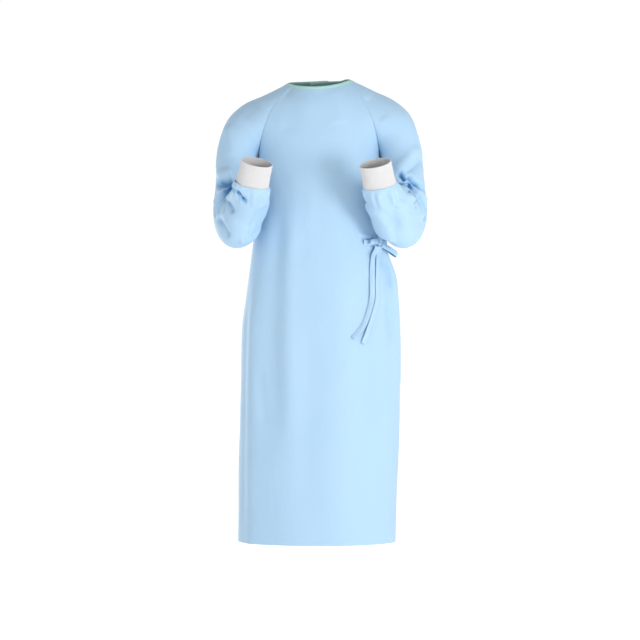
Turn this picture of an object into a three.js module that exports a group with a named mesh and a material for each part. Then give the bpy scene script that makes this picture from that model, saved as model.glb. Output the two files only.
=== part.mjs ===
// A wrap-around surgical gown, empty but standing as it is worn with both forearms raised.
// Millimetres, +Z up. The wearer faces -Y, and the wearer's left is +X.
// The origin is the middle of the neck opening, level with the neck's side points.
import * as THREE from "three";

const { lerp, smoothstep, degToRad } = THREE.MathUtils;
const vec = (x, y, z) => new THREE.Vector3(x, y, z);

const RIGHT_ANGLE = 90;
const HALF_TURN = 180;
const NUDGE = 1; // step for measuring a slope, in millimetres or in degrees
const CURVE_HANDLE = 1 / 3; // handles of a curve, as a share of the way between its ends

// Cloth and seams
const WALL = 1.2; // wall of the body cloth
const KNIT_WALL = 1.8; // wall of the ribbed cuffs
const SEAM_GAP = 0.3; // between two pieces that are sewn together
const FOLDED_SEAM = 0.4; // cosine between two panels at a seam, below which the cloth is folded there
const UNDERARM_CLEARANCE = 0.6; // sleeve from body where they nearly touch
const LAYER_DROP = 5; // inner back panel under the outer one, where they overlap
const FOREARM_LEVEL = { near: -130, far: -260 }; // depths between which an arm comes level again

// Grid of the solids
const FRONT_COLUMNS = 24;
const BACK_COLUMNS = { left: 13, right: 15 };
const SLEEVE_COLUMNS = 20;
const YOKE_ROWS = 8; // below the neck binding, down to the underarm
const CHEST_ROWS = 4; // from the underarm to the waist tie
const SKIRT_ROWS = 13; // from the waist tie to the hem
const UPPER_ARM_ROWS = 5;
const ELBOW_ROWS = 10;
const FOREARM_ROWS = 6;
const CUFF_ROWS = 3;
const BINDING_SHARE = 0.037; // share of the raglan seam that the neck binding covers

// Raglan sleeve cap, from the neck (t 0) to the underarm (t 1). A row is an elliptic arc from the front
// seam over the apex to the back seam: depth and rise are its half axis towards the back, and angle is
// the half arc in degrees, so that the last row is a full ring.
const CAP = [
  { t: 0.0, apexX: 84, apexY: 0, apexZ: 0, seamX: 75, seamZ: 0, depth: 62, rise: 10, angle: 31 },
  { t: 0.25, apexX: 150, apexY: 0, apexZ: -31, seamX: 108, seamZ: -38, depth: 80, rise: 9, angle: 52 },
  { t: 0.5, apexX: 209, apexY: -2, apexZ: -60, seamX: 136, seamZ: -90, depth: 86, rise: 6, angle: 75 },
  { t: 0.75, apexX: 258, apexY: -5, apexZ: -112, seamX: 154, seamZ: -152, depth: 80, rise: 0, angle: 118 },
  { t: 1.0, apexX: 278, apexY: -8, apexZ: -200, seamX: 165, seamZ: -215, depth: 75, rise: -10, angle: 180 },
];

// Chest and shoulder blades over the same rows: the middle of the panel, and its half arc in degrees.
const CHEST = [
  { t: 0.0, frontY: -80, frontZ: -20, frontAngle: 62, backY: 68, backZ: 7, backAngle: 52 },
  { t: 0.25, frontY: -100, frontZ: -66, frontAngle: 52, backY: 92, backZ: -30, backAngle: 50 },
  { t: 0.5, frontY: -111, frontZ: -112, frontAngle: 56, backY: 107, backZ: -85, backAngle: 56 },
  { t: 0.75, frontY: -120, frontZ: -162, frontAngle: 70, backY: 115, backZ: -148, backAngle: 72 },
  { t: 1.0, frontY: -126, frontZ: -215, frontAngle: 90, backY: 118, backZ: -215, backAngle: 90 },
];

// Body below the underarm: reach to each side, to the front and to the back.
const BODY = [
  { z: -215, left: 165, right: 165, front: 126, back: 118 },
  { z: -300, left: 169, right: 168, front: 133, back: 120 },
  { z: -380, left: 177, right: 173, front: 137, back: 121 },
  { z: -437, left: 183, right: 178, front: 139, back: 123 },
  { z: -524, left: 208, right: 189, front: 145, back: 138 },
  { z: -590, left: 215, right: 197, front: 148, back: 146 },
  { z: -670, left: 219, right: 206, front: 151, back: 151 },
  { z: -860, left: 218, right: 211, front: 155, back: 156 },
  { z: -1000, left: 215, right: 214, front: 157, back: 159 },
  { z: -1110, left: 210, right: 216, front: 158, back: 160 },
  { z: -1240, left: 207, right: 217, front: 159, back: 161 },
];
const UNDERARM_Z = BODY[0].z;
const HEM_Z = BODY[BODY.length - 1].z;
const WAIST_Z = -437;

// Tilt of the upper gown in degrees, as the right shoulder is carried lower.
const TILT = [
  { z: 40, degrees: 3 },
  { z: -10, degrees: 3 },
  { z: -60, degrees: 1.7 },
  { z: -160, degrees: 1.5 },
  { z: -460, degrees: 0 },
];

// Long folds of the body. Angle is round the body, 0 at the front and 90 on the wearer's left; spread is
// half the fold's width in degrees; depth is a ridge if positive; lean is the turn from top to bottom.
const FOLDS = [
  { angle: -26, spread: 8, depth: 7, top: -300, bottom: -980, lean: 5 },
  { angle: -40, spread: 10, depth: -7, top: -300, bottom: -1040, lean: 5 },
  { angle: -60, spread: 9, depth: 5, top: -480, bottom: -1420, lean: 6 },
  { angle: -74, spread: 8, depth: -4, top: -520, bottom: -1300, lean: 4 },
  { angle: -6, spread: 9, depth: -4, top: -640, bottom: -1240, lean: -3 },
  { angle: 14, spread: 13, depth: 5, top: -420, bottom: -1460, lean: 2 },
  { angle: 33, spread: 9, depth: -5, top: -460, bottom: -960, lean: 4 },
  { angle: 60, spread: 7, depth: -8, top: -430, bottom: -720, lean: 3 },
  { angle: 73, spread: 7, depth: 7, top: -430, bottom: -900, lean: 3 },
  { angle: 88, spread: 7, depth: -8, top: -420, bottom: -700, lean: 2 },
  { angle: 106, spread: 9, depth: 8, top: -430, bottom: -1420, lean: 4 },
  { angle: 124, spread: 9, depth: -9, top: -430, bottom: -1420, lean: 5 },
  { angle: 168, spread: 11, depth: 7, top: -440, bottom: -1420, lean: -3 },
  { angle: 190, spread: 10, depth: -8, top: -430, bottom: -1420, lean: -4 },
  { angle: 214, spread: 10, depth: 9, top: -420, bottom: -1420, lean: -3 },
  { angle: 236, spread: 9, depth: -8, top: -420, bottom: -1420, lean: -2 },
  { angle: 256, spread: 9, depth: 6, top: -430, bottom: -1420, lean: 2 },
];
const FOLD_FADE = 0.22; // share of a fold's length over which it dies away

// Edges of the wrapped back, as shares of the half back from the middle (+1 is the wearer's left side).
const BACK_EDGE = {
  inner: { neck: -0.3, hem: -0.36 },
  outer: { neck: 0.3, hem: 0.62 },
};
const DROP_FROM = 1.0; // the inner panel starts to sink here
const DROP_FULL = 0.7; // and has its full drop here

// Arm pose, given as for a left arm: the elbow's crease, which its sections turn about, and the middle of
// the seam that joins sleeve and cuff.
const ARMS = {
  left: { crease: vec(201, -122, -281), cuffSeam: vec(158, -258, -291) },
  right: { crease: vec(195, -122, -281), cuffSeam: vec(173, -258, -288) },
};
const UPPER_ARM_AIM = vec(0.03, -0.26, -0.965).normalize();
const FOREARM_AIM = vec(-0.34, -0.76, 0.55).normalize();
const CUFF_AIM = vec(-0.2, -0.45, 0.87).normalize();
const ELBOW_INSIDE = 9; // crease to the near side of each section
const ELBOW_REACH = { upper: 148, middle: 177, fore: 136 }; // crease to the far side
const ELBOW_HALF_WIDTH = { upper: 55, middle: 58, fore: 57 };
const CRUSH = { folds: 2.5, depth: 9, spread: 62 }; // folds pressed up inside the bend
const CUFF_SEAM_HALF = { width: 46, depth: 32 };
const PLEATS = { count: 5, depth: 3.2, length: 0.55 }; // sleeve gathered into the cuff

// Ribbed cuff
const CUFF_LENGTH = 71;
const CUFF_TUCK = 9; // length inside the sleeve
const CUFF_CLEARANCE = 0.6; // from the sleeve around it
const CUFF_HALF = { width: 42, depth: 29 };
const CUFF_GRIP = 0.5; // share of its length over which it narrows to the wrist

// Neck binding, folded over the neck edge
const BINDING_WALL = 1;
const BINDING_END = [
  [0, 1, 2, 7],
  [7, 2, 3, 6],
  [6, 3, 4, 5],
]; // faces of its cut end, by the points of its section

// Waist tie, knotted in a bow on the wearer's left
const TIE_WIDTH = 14;
const TIE_WALL = 1.2;
const TAPE_END = [[0, 1, 2, 3]]; // face of a tape's cut end
const TIE_LIFT = 1; // its inner face off the body
const TIE_ANGLES = { back: 147, front: 40 }; // where it is sewn to the outer back and to the front
const TIE_STEPS = { back: 14, front: 5 };
const KNOT_ANGLE = 58;
const KNOT_HALF = { across: 10, out: 6.5, up: 9 };
// Middle line of each hanging end: its place on the front panel, and its lift off it.
const TAIL_ROUTES = {
  inner: [
    { x: 149, z: -447.3, lift: 9 },
    { x: 147.5, z: -457, lift: 7 },
    { x: 141.5, z: -476, lift: 4 },
    { x: 139.5, z: -510, lift: 3 },
    { x: 140, z: -545, lift: 3 },
    { x: 140.5, z: -575, lift: 3 },
    { x: 136.5, z: -604, lift: 3 },
    { x: 122, z: -650, lift: 3 },
    { x: 104, z: -674, lift: 3 },
    { x: 87, z: -691, lift: 3 },
  ],
  outer: [
    { x: 158, z: -447.3, lift: 9 },
    { x: 157.8, z: -457, lift: 7 },
    { x: 155.5, z: -480, lift: 4 },
    { x: 153, z: -510, lift: 3 },
    { x: 152.5, z: -545, lift: 3 },
    { x: 153, z: -575, lift: 3 },
    { x: 149.5, z: -604, lift: 3 },
    { x: 137, z: -650, lift: 3 },
    { x: 128.5, z: -676, lift: 3 },
    { x: 117, z: -706, lift: 3 },
  ],
};
const TAIL_STEPS = 15;
// Bow loops: the far end's reach round the body and up, its swing outwards, and half the loop's opening.
const LOOPS = {
  back: { along: 38, up: -21, out: 21, belly: 8 },
  front: { along: -32, up: 6, out: 4, belly: 7 },
};
const LOOP_START = 9.8; // knot's middle to the ends of a loop
const LOOP_ROOT = 1.5; // half the gap between those ends
const LOOP_ROUNDNESS = 0.8; // below 1 for a blunt far end
const LOOP_STEPS = 14;

// Closure tab at the back of the neck: shares across the back, and rows down the raglan seam
const TAB_ACROSS = { from: 0.58, to: 0.08, columns: 6 };
const TAB_DOWN = { from: 0.065, to: 0.16, rows: 2 };

const CLOTH = new THREE.MeshStandardMaterial({ color: 0x9fcdf0, roughness: 0.85, metalness: 0 });
const KNIT = new THREE.MeshStandardMaterial({ color: 0xf2f1ef, roughness: 0.95, metalness: 0 });
const MINT = new THREE.MeshStandardMaterial({ color: 0xb4e6dc, roughness: 0.85, metalness: 0 });
const TAPE = new THREE.MeshStandardMaterial({ color: 0xe9edf0, roughness: 0.9, metalness: 0 });

// Evenly spaced numbers, both ends included.
function shares(from, to, count) {
  return Array.from({ length: count + 1 }, (_, i) => lerp(from, to, i / count));
}

// A smooth curve through one column of a table, read against another column.
function curve(table, across, column) {
  const xs = table.map((row) => row[across]);
  const ys = table.map((row) => row[column]);
  const last = xs.length - 1;
  const slope = xs.map((_, i) => {
    const a = Math.max(i - 1, 0);
    const b = Math.min(i + 1, last);
    return (ys[b] - ys[a]) / (xs[b] - xs[a]);
  });
  const rising = xs[last] > xs[0];
  return (x) => {
    let i = 0;
    while (i < last - 1 && (rising ? x > xs[i + 1] : x < xs[i + 1])) i += 1;
    const span = xs[i + 1] - xs[i];
    const s = Math.min(Math.max((x - xs[i]) / span, 0), 1);
    const s2 = s * s;
    const s3 = s2 * s;
    const start = (2 * s3 - 3 * s2 + 1) * ys[i] + (s3 - 2 * s2 + s) * span * slope[i];
    return start + (3 * s2 - 2 * s3) * ys[i + 1] + (s3 - s2) * span * slope[i + 1];
  };
}

// Every column of a table as a curve, by name.
function curves(table, across) {
  const columns = Object.keys(table[0]).filter((name) => name !== across);
  return Object.fromEntries(columns.map((name) => [name, curve(table, across, name)]));
}

const cap = curves(CAP, "t");
const chest = curves(CHEST, "t");
const body = curves(BODY, "z");

const tilt = curve(TILT, "z", "degrees");

// The tilt of the shoulders, which the upper gown follows as far as the elbows.
function carried(p) {
  const share = smoothstep(p.y, FOREARM_LEVEL.far, FOREARM_LEVEL.near);
  return p.setZ(p.z + p.x * Math.tan(degToRad(tilt(p.z))) * share);
}

// Rows of the body panels: t runs down the raglan seam, then z runs down to the hem.
const yokeRows = [0, ...shares(BINDING_SHARE, 1, YOKE_ROWS)].map((t) => ({ t }));
const ringFrom = yokeRows.length - 1; // the first sleeve row that is a full ring
const TIE_TOP_Z = WAIST_Z + TIE_WIDTH / 2;
const TIE_BOTTOM_Z = WAIST_Z - TIE_WIDTH / 2;
const chestHeights = shares(UNDERARM_Z, TIE_TOP_Z, CHEST_ROWS).slice(1);
const skirtHeights = shares(TIE_BOTTOM_Z, HEM_Z, SKIRT_ROWS);
const bodyRows = [...yokeRows, ...[...chestHeights, ...skirtHeights].map((z) => ({ z }))];

// Height of the folds at an angle round the body.
function foldHeight(angle, z) {
  let height = 0;
  for (const fold of FOLDS) {
    const along = (fold.top - z) / (fold.top - fold.bottom);
    const fade = smoothstep(along, 0, FOLD_FADE) * (1 - smoothstep(along, 1 - FOLD_FADE, 1));
    const turned = angle - fold.angle - fold.lean * along;
    const off = THREE.MathUtils.euclideanModulo(turned + HALF_TURN, 2 * HALF_TURN) - HALF_TURN;
    height += fold.depth * fade * Math.exp(-((off / fold.spread) ** 2));
  }
  return height;
}

// A point of the body below the underarm, with the folds, lifted off the cloth's outer face.
function skirtPoint(angle, z, lift = 0) {
  const turn = degToRad(angle);
  const side = Math.sin(turn) > 0 ? body.left(z) : body.right(z);
  const depth = Math.cos(turn) > 0 ? body.front(z) : body.back(z);
  const normal = vec(Math.sin(turn) / side, -Math.cos(turn) / depth, 0).normalize();
  const point = vec(side * Math.sin(turn), -depth * Math.cos(turn), z);
  return carried(point.addScaledVector(normal, foldHeight(angle, z) + lift));
}

// The end of the raglan seam's row on the front (facing -1) or on the back (facing 1).
function seamPoint(t, facing) {
  const arc = Math.sin(degToRad(cap.angle(t)));
  return vec(cap.seamX(t), facing * cap.depth(t) * arc, cap.seamZ(t) + facing * cap.rise(t) * arc);
}

// A point of the yoke: share runs across the panel, from -1 on the wearer's right to 1 on the left.
function yokePoint(share, t, facing) {
  const name = facing < 0 ? "front" : "back";
  const half = degToRad(chest[`${name}Angle`](t));
  const seam = seamPoint(t, facing);
  const fall = (1 - Math.cos(share * half)) / (1 - Math.cos(half));
  const y = lerp(chest[`${name}Y`](t), seam.y, fall);
  const z = lerp(chest[`${name}Z`](t), seam.z, fall);
  return carried(vec((seam.x * Math.sin(share * half)) / Math.sin(half), y, z));
}

function frontPoint(share, row) {
  return row.z === undefined ? yokePoint(share, row.t, -1) : skirtPoint(share * RIGHT_ANGLE, row.z);
}

function backPoint(share, row) {
  if (row.z === undefined) return yokePoint(share, row.t, 1);
  return skirtPoint(HALF_TURN - share * RIGHT_ANGLE, row.z);
}

// Outward normals of a grid of points, from its neighbours. Rows run down and columns run round.
function gridNormals(grid) {
  const lastRow = grid.length - 1;
  return grid.map((row, r) =>
    row.map((_, c) => {
      const below = grid[Math.min(r + 1, lastRow)][c];
      const above = grid[Math.max(r - 1, 0)][c];
      const next = row[Math.min(c + 1, row.length - 1)];
      const before = row[Math.max(c - 1, 0)];
      const down = below.clone().sub(above);
      return down.cross(next.clone().sub(before)).normalize();
    }),
  );
}

function moved(grid, normals, distance) {
  return grid.map((row, r) => row.map((p, c) => p.clone().addScaledVector(normals[r][c], distance)));
}

// Draws back both ends of a row by half the seam gap.
function seamed(row) {
  const [first, second] = row;
  const [beforeLast, last] = row.slice(-2);
  first.addScaledVector(second.clone().sub(first).normalize(), SEAM_GAP / 2);
  last.addScaledVector(beforeLast.clone().sub(last).normalize(), SEAM_GAP / 2);
  return row;
}

// A closed solid between two grids of points, the outer one seen from outside. From the row firstRing on,
// the first and last columns are the same points, so those rows are rings with no side edges.
function wallSolid(outer, inner, firstRing = Infinity) {
  const corners = [];
  const quad = (a, b, c, d) => corners.push(a, b, c, a, c, d);
  const lastRow = outer.length - 1;
  const lastColumn = outer[0].length - 1;
  for (let r = 0; r < lastRow; r += 1) {
    for (let c = 0; c < lastColumn; c += 1) {
      quad(outer[r][c], outer[r + 1][c], outer[r + 1][c + 1], outer[r][c + 1]);
      quad(inner[r][c], inner[r][c + 1], inner[r + 1][c + 1], inner[r + 1][c]);
    }
    if (r >= firstRing) continue;
    quad(outer[r][0], inner[r][0], inner[r + 1][0], outer[r + 1][0]);
    const [o, i] = [outer, inner].map((grid) => [grid[r][lastColumn], grid[r + 1][lastColumn]]);
    quad(i[0], o[0], o[1], i[1]);
  }
  for (let c = 0; c < lastColumn; c += 1) {
    quad(outer[0][c], outer[0][c + 1], inner[0][c + 1], inner[0][c]);
    quad(inner[lastRow][c], inner[lastRow][c + 1], outer[lastRow][c + 1], outer[lastRow][c]);
  }
  return new THREE.BufferGeometry().setFromPoints(corners);
}

// The outward normal of the folded body, at an angle round it.
function skirtNormal(angle, z) {
  const round = skirtPoint(angle + NUDGE, z).sub(skirtPoint(angle - NUDGE, z));
  const down = skirtPoint(angle, z - NUDGE).sub(skirtPoint(angle, z + NUDGE));
  return down.cross(round).normalize();
}

// The cloth panel on a grid of outer points. A side seam, at an angle round the body, gives the panels on
// both of its sides the same normal, so that their walls meet squarely.
function clothPanel(grid, { firstSeam, lastSeam }) {
  const normals = gridNormals(grid);
  bodyRows.forEach(({ z }, r) => {
    if (z === undefined) return;
    if (firstSeam !== undefined) normals[r][0] = skirtNormal(firstSeam, z);
    if (lastSeam !== undefined) normals[r][normals[r].length - 1] = skirtNormal(lastSeam, z);
  });
  return { outer: grid, normals };
}

// Gives two panels one normal along the raglan seam between them, unless the cloth is folded there.
function joinRaglan(panel, next) {
  for (let r = 0; r < ringFrom; r += 1) {
    const last = panel.normals[r].at(-1);
    const [first] = next.normals[r];
    if (last.dot(first) < FOLDED_SEAM) continue;
    last.add(first).normalize();
    first.copy(last);
  }
}

function panelSolid({ outer, normals }, firstRing) {
  return wallSolid(outer, moved(outer, normals, -WALL), firstRing);
}

function frontPanel() {
  const across = shares(-1, 1, FRONT_COLUMNS);
  const grid = bodyRows.map((row) => seamed(across.map((share) => frontPoint(share, row))));
  return clothPanel(grid, { firstSeam: -RIGHT_ANGLE, lastSeam: RIGHT_ANGLE });
}

// How far down the back a row lies, from 0 at the neck to 1 at the hem.
function downBack(row) {
  const height = row.z === undefined ? chest.backZ(row.t) : row.z;
  return Math.min(1, (chest.backZ(0) - height) / (chest.backZ(0) - HEM_Z));
}

// The outer panel comes from the wearer's right side and wraps past the middle to the left.
function outerBackPanel() {
  const grid = bodyRows.map((row) => {
    const edge = lerp(BACK_EDGE.outer.neck, BACK_EDGE.outer.hem, Math.sqrt(downBack(row)));
    return seamed(shares(edge, -1, BACK_COLUMNS.right).map((share) => backPoint(share, row)));
  });
  return clothPanel(grid, { lastSeam: -RIGHT_ANGLE });
}

// The inner panel comes from the wearer's left side and lies under the outer one.
function innerBackPanel() {
  const columns = (row) => {
    const edge = lerp(BACK_EDGE.inner.neck, BACK_EDGE.inner.hem, downBack(row));
    return shares(1, edge, BACK_COLUMNS.left);
  };
  const grid = bodyRows.map((row) => seamed(columns(row).map((share) => backPoint(share, row))));
  const normals = gridNormals(grid);
  const sunk = grid.map((row, r) =>
    row.map((p, c) => {
      const share = columns(bodyRows[r])[c];
      const drop = LAYER_DROP * (1 - smoothstep(share, DROP_FULL, DROP_FROM));
      return p.clone().addScaledVector(normals[r][c], -drop);
    }),
  );
  return clothPanel(sunk, { firstSeam: RIGHT_ANGLE });
}

// Frame of the elbow: its hinge line, and the way from the crease to the back of the upper arm.
const ELBOW_AXIS = FOREARM_AIM.clone().cross(UPPER_ARM_AIM).normalize();
const ELBOW_BACK = ELBOW_AXIS.clone().cross(UPPER_ARM_AIM);
const ELBOW_TURN = UPPER_ARM_AIM.angleTo(FOREARM_AIM);

// A quadratic through three sizes, at the start, the middle and the end of the bend.
function throughBend(sizes, s) {
  const { upper, middle, fore } = sizes;
  return upper * (1 - s) * (1 - 2 * s) + 4 * middle * s * (1 - s) + fore * s * (2 * s - 1);
}

// A sleeve section is an ellipse arc: side is its half axis away from the body and back its half axis
// towards the back of the arm. Arc is half the arc in degrees, and crush the depth of the elbow folds.
function capSection(t) {
  const arc = cap.angle(t);
  const seam = vec(cap.seamX(t) + UNDERARM_CLEARANCE * t, 0, cap.seamZ(t));
  const apex = vec(cap.apexX(t), cap.apexY(t), cap.apexZ(t));
  const side = apex.clone().sub(seam).divideScalar(1 - Math.cos(degToRad(arc)));
  const back = vec(0, cap.depth(t), cap.rise(t));
  return { middle: apex.sub(side), side, back, arc, crush: 0, pleat: 0 };
}

function elbowSection(arm, s) {
  const turn = s * ELBOW_TURN;
  const aim = ELBOW_BACK.clone().multiplyScalar(Math.cos(turn));
  aim.addScaledVector(UPPER_ARM_AIM, Math.sin(turn));
  const reach = throughBend(ELBOW_REACH, s);
  const middle = arm.crease.clone().addScaledVector(aim, (reach + ELBOW_INSIDE) / 2);
  const wave = Math.sin(Math.PI * CRUSH.folds * s) ** 2;
  return {
    middle,
    side: ELBOW_AXIS.clone().multiplyScalar(throughBend(ELBOW_HALF_WIDTH, s)),
    back: aim.multiplyScalar((reach - ELBOW_INSIDE) / 2),
    arc: HALF_TURN,
    crush: CRUSH.depth * wave,
    pleat: 0,
  };
}

function cuffSection(arm, along, half) {
  const side = vec(1, 0, 0).addScaledVector(CUFF_AIM, -CUFF_AIM.x).normalize();
  const back = side.clone().cross(CUFF_AIM);
  return {
    middle: arm.cuffSeam.clone().addScaledVector(CUFF_AIM, along),
    side: side.multiplyScalar(half.width),
    back: back.multiplyScalar(half.depth),
    arc: HALF_TURN,
    crush: 0,
    pleat: 0,
  };
}

// A section between two others: its middle follows a curve that leaves and arrives along two aims.
function between(a, b, leave, arrive, s) {
  const reach = a.middle.distanceTo(b.middle) * CURVE_HANDLE;
  const out = a.middle.clone().addScaledVector(leave, reach);
  const back = b.middle.clone().addScaledVector(arrive, -reach);
  const path = new THREE.CubicBezierCurve3(a.middle, out, back, b.middle);
  return {
    middle: path.getPoint(s),
    side: a.side.clone().lerp(b.side, s),
    back: a.back.clone().lerp(b.back, s),
    arc: HALF_TURN,
    crush: 0,
    pleat: 0,
  };
}

function rowsOf(section, count) {
  return shares(0, 1, count).slice(1).map(section);
}

// Every section of a sleeve, from the neck to the seam with the cuff.
function armSections(arm) {
  const underarm = capSection(1);
  const elbowStart = elbowSection(arm, 0);
  const elbowEnd = elbowSection(arm, 1);
  const end = cuffSection(arm, 0, CUFF_SEAM_HALF);
  const upperArm = (s) => between(underarm, elbowStart, UPPER_ARM_AIM, UPPER_ARM_AIM, s);
  const forearm = (s) => {
    const section = between(elbowEnd, end, FOREARM_AIM, CUFF_AIM, s);
    section.pleat = PLEATS.depth * smoothstep(s, 1 - PLEATS.length, 1);
    return section;
  };
  return [
    ...yokeRows.map((row) => capSection(row.t)),
    ...rowsOf(upperArm, UPPER_ARM_ROWS),
    ...rowsOf((s) => elbowSection(arm, s), ELBOW_ROWS),
    ...rowsOf(forearm, FOREARM_ROWS),
  ];
}

// The point of a section at an angle: 0 is away from the body, -90 the front of the upper arm.
function sectionPoint(section, angle) {
  const turn = degToRad(angle);
  const inBend = Math.exp(-(((angle + RIGHT_ANGLE) / CRUSH.spread) ** 2));
  const pleat = section.pleat * Math.sin((turn * PLEATS.count) / 2) ** 2;
  const point = section.side.clone().multiplyScalar(Math.cos(turn));
  point.addScaledVector(section.back, Math.sin(turn));
  const radial = point.clone().normalize();
  point.addScaledVector(radial, pleat - section.crush * inBend);
  return point.add(section.middle);
}

// Normals of a ring in its own section plane, so that tight rows keep clear of each other.
function ringNormals(row, section) {
  const upArm = section.side.clone().cross(section.back);
  const last = row.length - 1;
  return row.map((_, c) => {
    const next = row[c === last ? 1 : c + 1];
    const before = row[c === 0 ? last - 1 : c - 1];
    return next.clone().sub(before).cross(upArm).normalize();
  });
}

// Mirrors a grid to the wearer's right, with its columns turned round so that it still faces out.
function onSide(grid, arm) {
  if (arm === ARMS.left) return grid.map((row) => row.map((p) => carried(p.clone())));
  return grid.map((row) => row.map((p) => carried(vec(-p.x, p.y, p.z))).reverse());
}

function normalsOnSide(normals, arm) {
  if (arm === ARMS.left) return normals;
  return normals.map((row) => row.map((n) => vec(-n.x, n.y, n.z)).reverse());
}

function sleeve(arm) {
  const sections = armSections(arm);
  const grid = sections.map((section, r) => {
    const angles = shares(-section.arc, section.arc, SLEEVE_COLUMNS);
    const row = angles.map((angle) => sectionPoint(section, angle));
    if (r < ringFrom) return seamed(row);
    row[SLEEVE_COLUMNS].copy(row[0]);
    return row;
  });
  const open = gridNormals(grid);
  const normals = grid.map((row, r) => (r < ringFrom ? open[r] : ringNormals(row, sections[r])));
  return { outer: onSide(grid, arm), normals: normalsOnSide(normals, arm) };
}

function cuff(arm) {
  const inSleeve = WALL + CUFF_CLEARANCE;
  const sections = shares(0, 1, CUFF_ROWS).map((s) => {
    const grip = smoothstep(s, 0, CUFF_GRIP);
    const width = lerp(CUFF_SEAM_HALF.width - inSleeve, CUFF_HALF.width, grip);
    const depth = lerp(CUFF_SEAM_HALF.depth - inSleeve, CUFF_HALF.depth, grip);
    return cuffSection(arm, lerp(-CUFF_TUCK, CUFF_LENGTH - CUFF_TUCK, s), { width, depth });
  });
  const angles = shares(-HALF_TURN, HALF_TURN, SLEEVE_COLUMNS);
  const grid = sections.map((section) => {
    const row = angles.map((angle) => sectionPoint(section, angle));
    row[SLEEVE_COLUMNS].copy(row[0]);
    return row;
  });
  const normals = grid.map((row, r) => ringNormals(row, sections[r]));
  return wallSolid(onSide(grid, arm), onSide(moved(grid, normals, -KNIT_WALL), arm), 0);
}

// The binding is folded over the neck edge of all five panels, from one back edge round to the other.
function neckBinding(panels) {
  const stations = panels.flatMap(({ outer, normals }, p) => {
    const [edges, legs] = outer;
    const trim = p % 2 === 1 ? 1 : 0; // sleeves give up the seam points they share with the body
    const stops = edges.map((edge, c) => {
      return { edge, leg: legs[c], edgeNormal: normals[0][c], legNormal: normals[1][c] };
    });
    return stops.slice(trim, stops.length - trim);
  });
  const far = SEAM_GAP + BINDING_WALL;
  const loop = stations.map(({ edge, leg, edgeNormal, legNormal }) => {
    const up = edge.clone().sub(leg).normalize();
    const at = (out, above) => edge.clone().addScaledVector(edgeNormal, out).addScaledVector(up, above);
    const low = (out) => leg.clone().addScaledVector(legNormal, out);
    const outside = [low(SEAM_GAP), low(far), at(far, far)];
    const inside = [at(-WALL - far, far), low(-WALL - far), low(-WALL - SEAM_GAP)];
    return [...outside, ...inside, at(-WALL - SEAM_GAP, SEAM_GAP), at(SEAM_GAP, SEAM_GAP)];
  });
  return sweptSolid(loop.reverse(), BINDING_END);
}

// A solid swept through closed sections of the same number of points. The end lists the four-sided faces
// that close the last section, and the first one in reverse.
function sweptSolid(sections, end) {
  const corners = [];
  const quad = (a, b, c, d) => corners.push(a, b, c, a, c, d);
  sections.slice(1).forEach((section, s) => {
    const before = sections[s];
    section.forEach((point, i) => {
      const j = (i + 1) % section.length;
      quad(before[i], before[j], section[j], point);
    });
  });
  const first = sections[0];
  const last = sections.at(-1);
  for (const [a, b, c, d] of end) {
    quad(last[a], last[b], last[c], last[d]);
    quad(first[d], first[c], first[b], first[a]);
  }
  return new THREE.BufferGeometry().setFromPoints(corners);
}

// A flat tape along a line of points: across is its width and out its thickness, at each point.
function tape(stations) {
  const sections = stations.map(({ point, across, out }) => {
    const corner = (u, v) => {
      const beside = point.clone().addScaledVector(across, (u * TIE_WIDTH) / 2);
      return beside.addScaledVector(out, (v * TIE_WALL) / 2);
    };
    return [corner(-1, -1), corner(1, -1), corner(1, 1), corner(-1, 1)];
  });
  return sweptSolid(sections, TAPE_END);
}

// A level tie on the body, between two angles round it.
function waistTie(from, to, steps) {
  const angles = shares(from, to, steps);
  const edge = (z, lift) => angles.map((angle) => skirtPoint(angle, z, lift));
  const face = (lift) => [edge(TIE_TOP_Z, lift), edge(TIE_BOTTOM_Z, lift)];
  return wallSolid(face(TIE_LIFT + TIE_WALL), face(TIE_LIFT));
}

const KNOT_OUT = skirtPoint(KNOT_ANGLE, WAIST_Z, 1).sub(skirtPoint(KNOT_ANGLE, WAIST_Z)).normalize();
const KNOT_ALONG = vec(-KNOT_OUT.y, KNOT_OUT.x, 0);
const KNOT_MIDDLE = skirtPoint(KNOT_ANGLE, WAIST_Z, TIE_LIFT + TIE_WALL + SEAM_GAP + KNOT_HALF.out);
const TIE_GAP_ANGLE = 0.06; // half the gap between the two ties under the knot, as an angle

function knot() {
  const ball = new THREE.IcosahedronGeometry(1, 1);
  const { across, out, up } = KNOT_HALF;
  const axes = new THREE.Matrix4().makeBasis(KNOT_ALONG, vec(0, 0, 1), KNOT_OUT.clone());
  ball.scale(across, up, out).applyMatrix4(axes);
  return ball.translate(KNOT_MIDDLE.x, KNOT_MIDDLE.y, KNOT_MIDDLE.z);
}

// One loop of the bow, out from the knot and back to it.
function bowLoop({ along, up, out, belly }) {
  const end = KNOT_ALONG.clone().multiplyScalar(along).addScaledVector(vec(0, 0, 1), up);
  const aim = end.clone().normalize();
  const reach = end.length();
  const width = aim.clone().cross(KNOT_OUT).normalize();
  const start = KNOT_MIDDLE.clone().addScaledVector(aim, LOOP_START);
  const places = shares(0, 1, LOOP_STEPS).map((s) => {
    const turn = s * Math.PI;
    const far = Math.sin(turn) ** LOOP_ROUNDNESS * reach;
    const wide = -Math.cos(turn) * (LOOP_ROOT + belly * Math.sin(turn));
    const place = start.clone().addScaledVector(aim, far);
    return place.addScaledVector(KNOT_OUT, wide + out * Math.sin(turn));
  });
  return tape(alongLine(places, width));
}

// Stations of a tape on a line of points, with one width direction.
function alongLine(places, width) {
  return places.map((point, i) => {
    const next = places[Math.min(i + 1, places.length - 1)];
    const before = places[Math.max(i - 1, 0)];
    const run = next.clone().sub(before).normalize();
    return { point, across: width, out: run.cross(width).normalize() };
  });
}

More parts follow.
